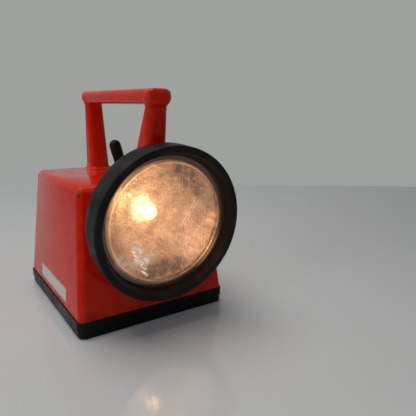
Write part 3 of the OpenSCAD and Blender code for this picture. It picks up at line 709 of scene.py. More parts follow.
@dataclass(frozen=True)
class LensGlass:
    """Clear glass with dust, smears, scuffs and scratches, with the lamp's light in it painted as a warm
    glow, and painted reflections and highlights on it.

    Its marks are given as they lie when the lens is seen from straight ahead.
    """

    name: str = "lens_glass"
    dust: tuple = (0.36, 0.29, 0.24)
    smear: tuple = (0.13, 0.09, 0.07)
    pale: tuple = (0.6, 0.56, 0.52)
    bevel: tuple = (0.5, 0.44, 0.4)
    edge: tuple = (0.15, 0.078, 0.05)
    # Heights over which the bevel goes from its pale colour to painted shade under the bezel's lip
    dust_and_lip_shade_z: tuple = (0.055, 0.115)
    # Colour and strength of the painted glow of the lamp's light in the glass
    lamp_glow: tuple = (1.0, 0.45, 0.2)
    lamp_glow_strength: float = 0.56
    # Whiter colour of the painted glow on glints, pale marks and scratches
    scatter: tuple = (1.0, 0.8, 0.64)
    cover: tuple = (0.26, 0.68)
    smears: tuple = (
        (17, 118, 3, 15), (26, 108, 2, 11), (-3, 50, 4, 13), (9, 50, 4, 12), (-13, 49, 3, 13), (8, 124, 1, 9),
    )
    # Pale patches: partly scuffs, partly painted reflections of the room
    scuffs: tuple = (
        (32, 106, 1, 10), (34, 97, 2, 10), (26, 96, 1, 9), (22, 56, 1, 10), (8, 68, 1, 9), (-4, 79, 0.5, 6),
        (-27, 76, 1, 11),
    )
    # Grey patches round the glints: partly wiped dirt, partly painted reflection
    wipes_and_reflections: tuple = ((-34, 60, 2, 9), (-21, 59, 4, 13), (-24, 68, 1, 9))
    # Glints: painted reflections, shards of light on the dome
    glints: tuple = (
        (-27.8, 67, -25.2, 62, 1.5), (-23.6, 69.5, -22, 63, 1.0), (-26, 60.5, -20.5, 57, 1.7),
        (-21.5, 56, -18.2, 51.5, 2.0), (-20.5, 50.5, -16.5, 46.2, 1.8), (-18.2, 60, -16.4, 55.5, 0.9),
    )
    scratches: tuple = (
        (8.9, 81.7, 22.2, 102.2, 0.8), (11.6, 81.8, 24.2, 99.0, 0.65),
        (-30, 95, -25, 103, 0.5), (14, 66, 27, 79, 0.45),
    )
    specks: tuple = ((-19.5, 119.5), (1.0, 119.5), (11.1, 117.6), (-5.0, 114.5), (4.7, 128.6), (-10.2, 108.0))
    speck_r: tuple = (0.3, 1.0)
    # Patches where the painted glow in the glass is stronger
    glow_patches: tuple = ((28, 64, 4, 26), (40, 81, 3, 14), (-14, 126, 0, 13))
    # Patches where the painted highlights along the rim and the ring are stronger
    light_leaks: tuple = ((38, 58, 4, 22), (-38, 114, 4, 28))
    smeared: Cloud = (330.0, 7.0, 0.24, 0.58)
    blotched: Cloud = (85.0, 8.0, 0.36, 0.64)
    broken: Cloud = (420.0, 4.0, 0.42, 0.56)
    scratched: Cloud = (30.0, 3.0, 0.46, 0.58)

    def make(self) -> Material:
        """Builds the material.

        Returns:
            The material.
        """
        s = Shader(self.name)
        s.place = s.stretched((1, 0, 1))

        def balls(marks: Iterable[Numbers]) -> Signal:
            """Soft round patches, each given by its middle and its two radii."""
            return s.most(s.near((x, 0, z), inner, outer) for x, z, inner, outer in marks)

        def lines(marks: Iterable[Numbers]) -> Signal:
            """Straight marks, each given by its ends and half its width."""
            return s.most(s.stroke((a, 0, b), (c, 0, d), half_w) for a, b, c, d, half_w in marks)

        ring, bevel, rim = map(s.attribute, ("ring", "bevel", "rim"))
        patch = balls(self.smears) * s.cloud(*self.smeared)
        blotch = s.cloud(*self.blotched) * 0.42 | patch
        grain = s.noise(650.0, 3.0, s.stretched((1, 1, 0.35)))
        facet = s.cells(620.0, s.place, "Color", "F1")
        drag = s.span(s.noise(260.0, 5.0, s.stretched((1, 1, 0.4), (0, 28, 0))), 0.34, 0.62)
        glint = lines(self.glints) * s.cloud(*self.broken)
        # Pale marks: scuffs, wipes and glints; the glints and part of the rest are painted reflections
        pale = (balls(self.scuffs) * 0.45 | balls(self.wipes_and_reflections)) * drag | glint
        patches = s.cloud(*self.scratched)
        hair = s.hairs(42.0, s.stretched((1, 1, 0.12), (10, 8, -34)), 0.01, patches)
        hair = (hair * 0.6 | lines(self.scratches)) * ~(ring | bevel)
        speck = balls((*speck, *self.speck_r) for speck in self.specks) * 0.75
        cover = s.span(blotch, 0.0, 1.0, self.cover) + (grain - 0.5) * 0.6
        for mask, share in ((speck, 1.0), (pale, 0.85), (bevel, 0.6), (ring, 0.94)):
            cover = cover | mask * share
        # Painted glow of the lamp's light in the glass: strongest in the middle and in the glow patches, held
        # back by blotches, specks, pale marks, the bevel and the ring
        strength = s.attribute("glow") + balls(self.glow_patches) * 1.3
        for value, low, high, to in (
            (blotch, 0.0, 1.0, (1.0, 0.25)), (grain, 0.3, 0.7, (0.55, 1.45)), (facet, 0.0, 1.0, (0.6, 1.4)),
        ):
            strength = strength * s.span(value, low, high, to)
        for mask, share in ((speck, 1.0), (pale, 0.7), (bevel, 0.75), (ring, 0.97)):
            strength = strength * ~(mask * share)
        # Painted highlights along the rim and the ring, and painted glow on the scratches, pale marks and
        # glints
        light_leak = balls(self.light_leaks)
        lit = rim * (light_leak * 2.2 + 0.8)
        for mask, share in ((lit, 1.0), (ring * light_leak, 0.5), (hair, 1.1), (pale, 0.42), (glint, 0.6)):
            strength = strength + mask * share
        colour = s.mix(pale, s.mix(blotch, self.dust, self.smear), self.pale)
        # The bevel is paler towards the bottom, partly dust and partly a painted reflection of the floor, and
        # darker towards the top, painted shade under the bezel's lip
        dust_and_lip_shade = s.mix(s.span(s.height(), *self.dust_and_lip_shade_z), self.bevel, self.edge)
        scattered = glint | pale * 0.8 | hair * 0.5
        return s.finish({
            "Base Color": s.mix(ring | speck, s.mix(bevel, colour, dust_and_lip_shade), self.edge),
            "Roughness": 0.1, "Alpha": cover, "IOR": 1.5, "Coat Weight": 1.0, "Coat Roughness": 0.03,
            "Emission Color": s.mix(scattered, self.lamp_glow, self.scatter),
            "Emission Strength": strength * self.lamp_glow_strength,
            "Normal": s.bump(s.noise(150.0), 0.04),
        })


@dataclass(frozen=True)
class PressedGlass:
    """The pattern pressed into the lens's inner face."""

    name: str = "pressed_glass"
    light: tuple = (0.5, 0.4, 0.33)
    dark: tuple = (0.3, 0.22, 0.17)
    glow: tuple = (1.0, 0.5, 0.22)
    glow_strength: float = 0.42
    facets: Cloud = (560.0, 1.0, 0.38, 0.64)
    clouded: Cloud = (60.0, 4.0, 0.35, 0.7)

    def make(self) -> Material:
        """Builds the material.

        Returns:
            The material.
        """
        s = Shader(self.name)
        tile = s.cloud(*self.facets)
        return s.finish({
            "Base Color": s.mix(s.cloud(*self.clouded), self.light, self.dark), "Roughness": 0.14,
            "Alpha": s.span(tile, 0.0, 1.0, (0.06, 0.5)), "Coat Weight": 0.6, "Emission Color": self.glow,
            "Emission Strength": tile * s.attribute("glow") * self.glow_strength,
        })


@dataclass(frozen=True)
class Silvering:
    """A silvered reflector that carries the bulb's light, brightest at its neck."""

    name: str = "reflector_silver"
    silver: tuple = (0.32, 0.29, 0.26)
    stained: tuple = (0.2, 0.17, 0.14)
    warm: tuple = (1.0, 0.46, 0.2)
    hot: tuple = (1.0, 0.66, 0.32)
    spotted: Cloud = (75.0, 6.0, 0.4, 0.7)

    def make(self) -> Material:
        """Builds the material.

        Returns:
            The material.
        """
        s = Shader(self.name)
        reach = s.attribute("reach")
        near = s.span(reach, 0.14, 0.38, (1.0, 0.0))
        near = near * near
        stain = s.cloud(*self.spotted)
        strength = near * 4.5 + s.span(reach, 0.2, 1.0, (1.0, 0.3)) * 0.85
        return s.finish({
            "Base Color": s.mix(stain, self.silver, self.stained), "Metallic": 1.0,
            "Roughness": s.span(stain, 0.0, 1.0, (0.4, 0.55)),
            "Emission Color": s.mix(near, self.warm, self.hot),
            "Emission Strength": strength * s.span(stain, 0.0, 1.0, (1.2, 0.55)),
            "Normal": s.bump(s.noise(420.0, 2.0), 0.09),
        })


@dataclass(frozen=True)
class Glowing:
    """A glowing surface, uneven like a hot wire or lit glass."""

    name: str
    colour: tuple
    strength: float
    alpha: float = 1.0
    pale: tuple = (0.9, 0.8, 0.6)
    dark: tuple = (0.8, 0.66, 0.45)
    uneven: Cloud = (600.0, 2.0, 0.3, 0.7)

    def make(self) -> Material:
        """Builds the material.

        Returns:
            The material.
        """
        s = Shader(self.name)
        return s.finish({
            "Base Color": s.mix(s.noise(300.0), self.pale, self.dark), "Roughness": 0.08, "Alpha": self.alpha,
            "Emission Color": self.colour,
            "Emission Strength": s.cloud(*self.uneven, (0.85 * self.strength, 1.15 * self.strength)),
        })


@dataclass(frozen=True)
class Paper:
    """An off-white label tape left bare, grubby at its edges."""

    name: str = "label_paper"
    white: tuple = (0.63, 0.6, 0.53)
    grubby: tuple = (0.33, 0.27, 0.2)
    dirty_rim: Cloud = (330.0, 4.0, 0.3, 0.7)
    dirty: Cloud = (190.0, 5.0, 0.5, 0.78)

    def make(self) -> Material:
        """Builds the material.

        Returns:
            The material.
        """
        s = Shader(self.name)
        rim = s.attribute("rim") * s.cloud(*self.dirty_rim)
        fibre = s.noise(1800.0)
        return s.finish({
            "Base Color": s.mix(s.cloud(*self.dirty) * 0.45 | rim, self.white, self.grubby),
            "Roughness": s.span(fibre, 0.3, 0.7, (0.42, 0.56)), "Normal": s.bump(fibre, 0.012),
        })


# Shapes of the lantern

HEAD_Y = -61.016
HEAD_Z = 87.0
HEAD_TILT = 5.0
SUNK = 0.5
SKIRT = 2.1
FILLET_REACH = 7.0


def head_place(along: float = 0.0) -> Matrix:
    """The lamp's frame, moved along the beam from the filament."""
    turn = Matrix.Rotation(math.radians(90 + HEAD_TILT), 4, "X")
    return Matrix.Translation((0, HEAD_Y, HEAD_Z)) @ turn @ Matrix.Translation((0, 0, along))


def in_head(p: Array) -> tuple[Array, Array]:
    """Distances of points from the beam's axis and along it."""
    y, z, t = p[:, 1] - HEAD_Y, p[:, 2] - HEAD_Z, math.radians(HEAD_TILT)
    return np.hypot(p[:, 0], z * math.cos(t) - y * math.sin(t)), -y * math.cos(t) - z * math.sin(t)


def run_in(part: Array, wall: Array, r: float) -> Array:
    """Distance to a part that runs into a wall with a fillet and ends just below its surface."""
    joined = unite(part, wall + SUNK, r)
    return np.maximum.reduce([joined, -(wall + SKIRT), part - FILLET_REACH])


def turned(
    name: str, profile: Profile, turns: int, at: Matrix, material: Material, crease: float = 180.0,
) -> Piece:
    """Turns a profile into a piece whose edges stay crisp above an angle, in degrees."""
    return add_object(name, creased(lathe(name, profile, turns, at), crease), material)


@dataclass
class Casing:
    """The tapered casing: its shape, its shell and the lamp bowl cast on its front."""

    enamel: Material
    bottom_w: float = 64.0
    bottom_d: float = 73.0
    top_w: float = 56.0
    top_d: float = 60.0
    bottom_z: float = 14.0
    top_z: float = 112.0
    edge: float = 5.5
    wall: float = 2.5
    levels: tuple = (13.35, 30.0, 60.0, 90.0, 102.0)
    arc_steps: int = 8
    dish_r: float = 59.113
    dish_middle: float = 42.113
    bowl_r: float = 52.0
    bowl_round: float = 1.5
    bead_r: float = 53.5
    bead_round: float = 0.7
    bead: tuple = (19.0, 24.5)
    bowl_hole: float = 15.0
    bowl_fillet: float = 3.5
    bowl_corners: tuple = ((-57, -96, 28), (57, -38, 144))
    bowl_step: float = 1.05
    tool_turns: int = 96
    tool_steps: int = 30
    least_share: float = 0.02

    def lean(self, bottom: float, top: float) -> tuple[float, float]:
        """The direction in which a side wall faces.

        Args:
            bottom: Half size at the bottom.
            top: Half size at the top.

        Returns:
            Its sideways and upward parts.
        """
        run = bottom - (top - self.edge)
        rise = self.top_z - self.edge - self.bottom_z
        angle = math.acos(self.edge / math.hypot(run, rise)) - math.atan2(rise, run)
        return math.cos(angle), math.sin(angle)

    def box(self, p: Array) -> Array:
        """Distance to the casing's outer form, open-ended downwards.

        Args:
            p: Points.

        Returns:
            The distances.
        """
        nx, ux = self.lean(self.bottom_w, self.top_w)
        ny, uy = self.lean(self.bottom_d, self.top_d)
        up = p[:, 2] - self.bottom_z
        return meet([
            (np.abs(p[:, 0]) - self.bottom_w) * nx + up * ux,
            (np.abs(p[:, 1]) - self.bottom_d) * ny + up * uy,
            p[:, 2] - self.top_z,
        ], self.edge)

    def bowl(self, p: Array) -> Array:
        """Distance to the lamp bowl without its hollow.

        Args:
            p: Points.

        Returns:
            The distances.
        """
        r, z = in_head(p)
        dish = np.hypot(r, z - self.dish_middle) - self.dish_r
        body = np.maximum(meet([dish, r - self.bowl_r], self.bowl_round), z - self.bead[1])
        ring = meet([r - self.bead_r, z - self.bead[1], self.bead[0] - z], self.bead_round)
        return np.minimum(body, ring)

    def bowl_hollow(self, p: Array) -> Array:
        """Distance to the hollow of the bowl, with the hole at its back.

        Args:
            p: Points.

        Returns:
            The distances.
        """
        r, z = in_head(p)
        dish = np.maximum(np.hypot(r, z - self.dish_middle) - self.dish_r, r - self.bowl_r) + self.wall
        return np.minimum(dish, np.maximum(r - self.bowl_hole, z))

    def body(self, p: Array) -> Array:
        """Distance to casing and bowl together."""
        return np.minimum(self.box(p), self.bowl(p))

    def cast_bowl(self, p: Array) -> Array:
        """Distance to the bowl's wall with the fillet that runs it into the casing."""
        bowl = self.bowl(p)
        return np.maximum(np.minimum(bowl, run_in(bowl, self.box(p), self.bowl_fillet)), -self.bowl_hollow(p))

    def rings(self, inset: float) -> list[Array]:
        """Sections of the casing from its foot to its top.

        Args:
            inset: How far they lie inside the outer form.

        Returns:
            Closed rows of points.
        """
        r = self.edge - inset
        levels = [(z, 1.0) for z in self.levels]
        for i in range(self.arc_steps + 1):
            a = math.radians(90 * i / self.arc_steps)
            levels.append((self.top_z - self.edge + r * math.sin(a), math.cos(a)))
        rows = []
        for z, share in levels:
            t = (min(z, self.top_z) - self.bottom_z) / (self.top_z - self.bottom_z)
            half_w = self.bottom_w + (self.top_w - self.bottom_w) * t - self.edge
            half_d = self.bottom_d + (self.top_d - self.bottom_d) * t - self.edge
            reach = r * max(share, self.least_share)
            row = []
            for quarter, (sx, sy) in enumerate(((1, 1), (-1, 1), (-1, -1), (1, -1))):
                for k in range(self.arc_steps + 1):
                    a = math.radians(90 * quarter + 90 * k / self.arc_steps)
                    row.append((sx * half_w + reach * math.cos(a), sy * half_d + reach * math.sin(a), z))
            rows.append(settle(self.box, np.array(row), -inset, keep_z=not rows))
        return rows

    def shell(self) -> Piece:
        """Builds the hollow casing with the opening for the bowl.

        Returns:
            The piece.
        """
        outer, inner = self.rings(0.0), self.rings(self.wall)
        count, half = len(outer[0]), len(outer) * len(outer[0])
        faces = []
        for start, turn in ((0, 1), (half, -1)):
            for a in range(start, start + half - count):
                b = a + 1 if (a + 1) % count else a + 1 - count
                faces.append([a, b, b + count, a + count][::turn])
            faces.append(list(range(start + half - count, start + half))[::turn])
        for k in range(count):
            n = (k + 1) % count
            faces.append([k, half + k, half + n, n])
        mesh = self.opened(to_mesh("casing_shell", np.concatenate(outer + inner), faces))
        p = points_of(mesh)
        normal = gradient(self.box, p)
        normal[self.box(p) < -self.wall / 2] *= -1
        give(mesh, "edge", edge_wear(self.box, p))
        mesh.normals_split_custom_set_from_vertices(normal.tolist())
        return add_object("casing_shell", mesh, self.enamel)

    def opened(self, mesh: Mesh) -> Mesh:
        """Cuts the opening for the bowl.

        Args:
            mesh: The casing's mesh.

        Returns:
            The cut mesh.
        """
        r = self.dish_r - self.wall / 2
        ball = corner_arc((0, 0), r, -90, 90, self.tool_steps)
        ball[0], ball[-1] = (0.0, -r), (0.0, r)
        tool = lathe("bowl_tool", ball, self.tool_turns, head_place(self.dish_middle))
        things = [bpy.data.objects.new(m.name, m) for m in (mesh, tool)]
        for thing in things:
            bpy.context.scene.collection.objects.link(thing)
        modifier = things[0].modifiers.new("cut", "BOOLEAN")
        modifier.operation, modifier.solver, modifier.object = "DIFFERENCE", "EXACT", things[1]
        cut = evaluated(things[0])
        for thing in things:
            bpy.data.objects.remove(thing)
        cut.polygons.foreach_set("use_smooth", [True] * len(cut.polygons))
        return cut

    def build(self) -> None:
        """Builds the shell and the bowl and ties them to the frame."""
        shell = self.shell()
        bowl = skin("lamp_bowl", self.cast_bowl, self.bowl_corners, self.bowl_step, self.enamel)
        for piece in (shell, bowl):
            place(piece, Body.LANTERN, "red_paint", "casing")


@dataclass
class CarryHandle:
    """The carrying handle: a bar on two posts that run into the casing with fillets."""

    casing: Casing
    bar_front: float = -83.616
    bar_back: float = 60.6
    bar_middle: float = 177.25
    bar_slope: float = 1.55
    bar_half_w: float = 9.7
    bar_half_h: float = 5.75
    bar_round: float = 5.4
    bar_end: float = 2.4
    foot_z: float = 105.0
    posts: tuple = (((-82.816, -74.816), (-73.216, -40.216)), ((48.9, 59.4), (38.4, 59.4)))
    half_w: tuple = (9.3, 8.05)
    post_round: float = 5.5
    corner_fillet: float = 3.2
    foot_fillet: float = 3.6
    corners: tuple = ((-18, -87, 98), (18, 70, 189))
    step: float = 0.75

    def bar(self, p: Array) -> Array:
        """Distance to the bar, which falls a little towards the lamp.

        Args:
            p: Points.

        Returns:
            The distances.
        """
        a = math.radians(self.bar_slope)
        y, z = p[:, 1] - (self.bar_front + self.bar_back) / 2, p[:, 2] - self.bar_middle
        along, up = y * math.cos(a) + z * math.sin(a), z * math.cos(a) - y * math.sin(a)
        across = meet([np.abs(p[:, 0]) - self.bar_half_w, np.abs(up) - self.bar_half_h], self.bar_round)
        ends = np.abs(along) - (self.bar_back - self.bar_front) / 2
        return meet([across, ends], self.bar_end)

    def post(self, p: Array, top: Numbers, foot: Numbers) -> Array:
        """Distance to a post.

        Args:
            p: Points.
            top: Front and back of the post inside the bar.
            foot: Front and back of its foot.

        Returns:
            The distances.
        """
        rise = self.bar_middle - self.foot_z
        t = (p[:, 2] - self.foot_z) / rise
        sides = [np.abs(p[:, 0]) - (self.half_w[0] + (self.half_w[1] - self.half_w[0]) * t)]
        for sign, high, low in zip((-1, 1), top, foot):
            face = low + (high - low) * t
            sides.append(sign * (p[:, 1] - face) / math.hypot(1, (high - low) / rise))
        return np.maximum(meet(sides, self.post_round), p[:, 2] - self.bar_middle)

    def raw(self, p: Array) -> Array:
        """Distance to bar and posts with fillets between them."""
        posts = np.minimum.reduce([self.post(p, top, foot) for top, foot in self.posts])
        return unite(self.bar(p), posts, self.corner_fillet)

    def shape(self, p: Array) -> Array:
        """Distance to the handle with the fillets at its feet."""
        return run_in(self.raw(p), self.casing.body(p), self.foot_fillet)

    def build(self) -> None:
        """Builds the handle and ties it to the frame."""
        piece = skin("carry_handle_skin", self.shape, self.corners, self.step, self.casing.enamel)
        place(piece, Body.LANTERN, "red_paint", "carry_handle")


@dataclass
class LampHead:
    """The lamp: rubber bezel, lens with its pressed pattern, reflector and bulb.

    Heights are along the beam, from the filament.
    """

    bezel_rubber: Material
    glass: Material
    pattern: Material
    silver: Material
    bulb: Material
    bezel: tuple = (
        (52.1, 17.1), (52.7, 17.1, 0.6, 180, 270, 3), (56.3, 17.7, 1.2, 270, 345, 4),
        (57.85, 19.5), (58.55, 22.1), (58.8, 25.5), (58.8, 35.1), (57.1, 37.9, 1.7, 0, 90, 6),
        (54.2, 38.6, 1.0, 90, 128, 4), (51.6, 32.0), (51.1, 31.1, 0.7, 140, 180, 3),
        (50.4, 30.0), (53.1, 30.0), (53.1, 24.5), (53.6, 24.5), (53.6, 19.0), (52.1, 19.0),
    )
    # Radii of the bezel's inner slope that gets painted lamplight
    painted_lamplight: tuple = (50.5, 51.9)
    lens_edge: tuple = (
        (45.4, 27.0), (53.0, 27.0), (52.6, 29.6, 0.4, 0, 90, 3), (48.0, 30.0), (47.8, 30.0), (46.1, 30.0),
        (45.6, 30.5, 0.4, 0, 90, 3), (45.4, 30.5, 0.4, 90, 150, 3),
    )
    lens_inside: float = 44.0
    lens_outside: float = 44.65
    lens_steps: int = 26
    lens_t: float = 3.0
    edge_front: float = 30.0
    dome_r: float = 46.0
    dome: float = 4.5
    bevel: tuple = (46.05, 47.9)
    rim_w: float = 1.0
    rim_z: float = 30.2
    lens_glow: tuple = (1.2, 0.8)
    mirror_back: tuple = ((49.3, 24.5), (53.0, 24.5), (53.0, 25.5))
    mirror_steps: int = 40
    mouth_r: float = 45.9
    focus: float = 13.5
    neck_r: float = 7.3
    neck_l: float = 7.0
    sheet: float = 1.0
    tile: float = 2.1
    tile_h: float = 0.45
    tile_reach: float = 0.68
    tile_margin: float = 2.6
    tile_gap: float = 0.3
    tile_glow: tuple = (1.15, 0.75)
    bulb_outline: tuple = ((4.2, -7.0), (0.0, 0.0, 6.0, -45.572996, 90, 18))
    turns: int = 144
    bulb_turns: int = 48

    @property
    def ball(self) -> float:
        """Radius of the lens's dome."""
        return (self.dome_r**2 + self.dome**2) / (2 * self.dome)

    def dome_z(self, r: float, outer: bool) -> float:
        """Height of the lens's outer or inner face at a distance from the axis."""
        rise = math.sqrt(self.ball * self.ball - r * r) - (self.ball - self.dome)
        return self.edge_front + rise - (0.0 if outer else self.lens_t)

    def lens_profile(self) -> Profile:
        """Outline of the lens: a flat ring, then a raised rim round the dome.

        Returns:
            Its points.
        """
        inside = np.linspace(0, self.lens_inside, self.lens_steps)
        outside = np.linspace(self.lens_outside, 0, self.lens_steps)
        points = [(r, self.dome_z(r, False)) for r in inside] + outline(self.lens_edge)
        return points + [(r, self.dome_z(r, True)) for r in outside]

    def mirror_profile(self) -> Profile:
        """Outline of the reflector: its back, its mouth's flange and its mirror face.

        Returns:
            Its points.
        """
        radii = np.linspace(self.neck_r, self.mouth_r, self.mirror_steps)
        face = [(r, r * r / (4 * self.focus) - self.focus) for r in radii]
        neck_front = face[0][1]
        neck_back = neck_front - self.neck_l
        points = [(self.neck_r + self.sheet, z) for z in (neck_back, neck_front)]
        for r, z in face[2:-3]:
            slope = r / (2 * self.focus)
            k = self.sheet / math.hypot(1, slope)
            points.append((r + k * slope, z - k))
        return points + [*self.mirror_back] + face[::-1] + [(self.neck_r, neck_back)]

    def polar(self, mesh: Mesh) -> tuple[Array, Array]:
        """A mesh's points in the lamp's frame.

        Args:
            mesh: The mesh.

        Returns:
            Their distances from the beam's axis and along it.
        """
        back = head_place().inverted()
        local = points_of(mesh) @ np.array(back.to_3x3()).T + np.array(back.translation)
        return np.hypot(local[:, 0], local[:, 1]), local[:, 2]

    def tiles(self) -> Piece:
        """Builds the pressed pattern: small pyramids over the lens's inner face.

        Returns:
            The piece.
        """
        tree = Growth("lens_tiles", {
            "Span": 2 * self.dome_r, "Pitch": self.tile, "Ball": self.ball, "Height": self.tile_h,
            "Limit": self.dome_r - self.tile_margin,
        })
        span, pitch, ball, height, limit = tree.given.values()
        count = tree.math("ROUND", tree.math("DIVIDE", span, pitch)) + 1.0
        grid = tree.out("GeometryNodeMeshGrid", {
            "Size X": span, "Size Y": span, "Vertices X": count, "Vertices Y": count,
        })
        where = tree.out("GeometryNodeInputPosition", {})
        x, y = (tree.out("ShaderNodeSeparateXYZ", {0: where}, axis) for axis in "XY")
        square = x * x + y * y
        rise = tree.out("ShaderNodeCombineXYZ", {"Z": tree.math("SQRT", ball * ball - square) - ball})
        dome = tree.out("GeometryNodeSetPosition", {"Geometry": grid, "Offset": rise})
        far = tree.math("GREATER_THAN", tree.math("SQRT", square), limit)
        points = tree.out("GeometryNodeDeleteGeometry", {"Geometry": dome, "Selection": far})
        sizes = {"Vertices": 4, "Radius Top": 0.0, "Radius Bottom": pitch * self.tile_reach, "Depth": height}
        cone = tree.out("GeometryNodeMeshCone", sizes, fill_type="NONE")
        turn = (math.pi, 0.0, math.pi / 4)
        tile = tree.out("GeometryNodeTransform", {"Geometry": cone, "Rotation": turn})
        mesh = tree.mesh(points, tile, self.pattern)
        world = head_place(self.dome_z(0.0, False) - self.tile_gap)
        world.translation *= MM
        mesh.transform(world)
        middle, fall = self.tile_glow
        give(mesh, "glow", middle - fall * (self.polar(mesh)[0] / self.mouth_r))
        return add_object("lens_tiles", mesh, self.pattern)

    def build(self) -> None:
        """Builds the lamp's pieces and ties them to the frame."""
        at = head_place()
        bezel = turned("bezel_skin", outline(self.bezel), self.turns, at, self.bezel_rubber, crease=40)
        r, z = self.polar(bezel.data)
        # Marks the bezel's inner slope in front of the lens's edge for painted lamplight
        inner, outer = self.painted_lamplight
        give(bezel.data, "slope", np.clip((outer - r) / (outer - inner), 0, 1) * (z > self.edge_front))
        place(bezel, Body.LANTERN, "bezel_rubber", "bezel_ring")
        lens = turned("lens_skin", self.lens_profile(), self.turns, at, self.glass, crease=50)
        r, z = self.polar(lens.data)
        inner, outer = self.bevel
        on_rim = np.abs(r - self.dome_r + self.rim_w / 2) < self.rim_w / 2
        for name, values in (
            ("glow", self.lens_glow[0] - self.lens_glow[1] * r / self.mouth_r), ("ring", r > outer),
            ("bevel", (r > inner) & (r < outer)), ("rim", on_rim & (z > self.rim_z)),
        ):
            give(lens.data, name, values)
        place(lens, Body.LANTERN, "lens_glass", "lens")
        place(self.tiles(), Body.LANTERN, "lens_glass", "lens")
        mirror = turned("reflector_skin", self.mirror_profile(), self.turns, at, self.silver, crease=40)
        give(mirror.data, "reach", self.polar(mirror.data)[0] / self.mouth_r)
        place(mirror, Body.LANTERN, "reflector_silver", "reflector")
        bulb = turned("bulb_skin", outline(self.bulb_outline), self.bulb_turns, at, self.bulb)
        place(bulb, Body.LANTERN, "bulb_glass", "bulb_glass")


@dataclass
class ToggleSwitch:
    """The booted toggle and its ribbed collar on the casing's top."""

    rubber: Material
    collar_finish: Material
    pivot: tuple = (0.0, -12.0, 115.0)
    lean: float = 16.0
    boot: tuple = (
        (0.0, 0.0, 6.708, 90, 0.5, 8), (6.708, 0.05), (0.0, 0.0, 8.208, 0.5, 41.997212, 8),
        (5.45, 6.191927), (5.02, 7.091927),
        (4.78, 12.0), (4.9, 17.0), (4.9, 22.8), (0.0, 22.8, 4.9, 8, 90, 10),
    )
    foot: tuple = (0.0, -12.0, 112.0)
    collar: tuple = (
        (8.508, 0.0), (11.1, 0.0), (11.1, 6.0), (10.1, 6.0, 1.0, 0, 90, 5), (7.809065, 7.0), (7.509065, 6.7),
        (0.0, 3.0, 8.508, 25.032430, 0, 6),
    )
    ribs: int = 30
    rib_ring: float = 11.0
    rib_r: float = 0.45
    rib_h: float = 4.6
    rib_middle: float = 2.9
    turns: int = 64

    def rib_mesh(self) -> Mesh:
        """Stands ribs round a circle.

        Returns:
            Their mesh, about its own middle.
        """
        tree = Growth("collar_ribs", {
            "Radius": self.rib_ring, "Thickness": self.rib_r, "Height": self.rib_h,
        })
        radius, thickness, height = tree.given.values()
        ring = tree.out("GeometryNodeMeshCircle", {"Vertices": self.ribs, "Radius": radius})
        sizes = {"Vertices": 8, "Radius": thickness, "Depth": height}
        return tree.mesh(ring, tree.out("GeometryNodeMeshCylinder", sizes, "Mesh"), self.collar_finish)

    def build(self) -> None:
        """Builds boot and collar and ties them to the frame."""
        pivot = Matrix.Translation(self.pivot)
        leaning = pivot @ Matrix.Rotation(math.radians(-self.lean), 4, "Y")
        boot = turned("boot_skin", outline(self.boot), self.turns, leaning, self.rubber, crease=60)
        place(boot, Body.TOGGLE, "boot_rubber", "toggle_boot")
        stand = Matrix.Translation(self.foot)
        collar = turned("collar_skin", outline(self.collar), self.turns, stand, self.collar_finish, crease=45)
        mesh = self.rib_mesh()
        x, y, z = self.foot
        mesh.transform(Matrix.Translation((x * MM, y * MM, (z + self.rib_middle) * MM)))
        for piece in (collar, add_object("collar_ribs", mesh, self.collar_finish)):
            place(piece, Body.LANTERN, "collar_black", "boot_collar")


@dataclass
class BareLabel:
    """The bare label tape on the casing's left side."""

    casing: Casing
    paper: Material
    along: tuple = (-40.0, 34.0)
    height: tuple = (17.9, 29.0)
    proud: float = 0.16
    sunk: float = 0.02
    rim_w: float = 2.2
    cells: tuple = (40, 10)

    def build(self) -> None:
        """Builds the label and ties it to the frame."""
        columns, rows = self.cells
        u, v = np.meshgrid(np.linspace(0, 1, columns + 1), np.linspace(0, 1, rows + 1), indexing="ij")
        length, width = self.along[1] - self.along[0], self.height[1] - self.height[0]
        y, z = self.along[0] + length * u, self.height[0] + width * v
        nx, ux = self.casing.lean(self.casing.bottom_w, self.casing.top_w)
        x = -(self.casing.bottom_w - (z - self.casing.bottom_z) * ux / nx)
        face = np.stack([x, y, z], -1).reshape(-1, 3)
        out = np.array([-nx, 0.0, ux])
        rim = np.minimum(np.minimum(u, 1 - u) * length, np.minimum(v, 1 - v) * width).reshape(-1)
        n, count = rows + 1, len(face)
        starts = [i * n + j for i in range(columns) for j in range(rows)]
        faces = [[a, a + 1, a + n + 1, a + n] for a in starts]
        faces += [[b + count for b in reversed(f)] for f in faces]
        border = [i * n for i in range(columns + 1)] + [columns * n + j for j in range(1, n)]
        border += [i * n + rows for i in range(columns - 1, -1, -1)] + list(range(rows - 1, 0, -1))
        faces += [[a, b, b + count, a + count] for a, b in zip(border, border[1:] + border[:1])]
        points = np.concatenate([face + out * self.proud, face - out * self.sunk])
        mesh = to_mesh("bare_label", points, faces)
        mesh.polygons.foreach_set("use_smooth", [False] * len(mesh.polygons))
        give(mesh, "rim", np.tile(np.clip(1 - rim / self.rim_w, 0, 1), 2))
        place(add_object("bare_label", mesh, self.paper), Body.LANTERN, None)


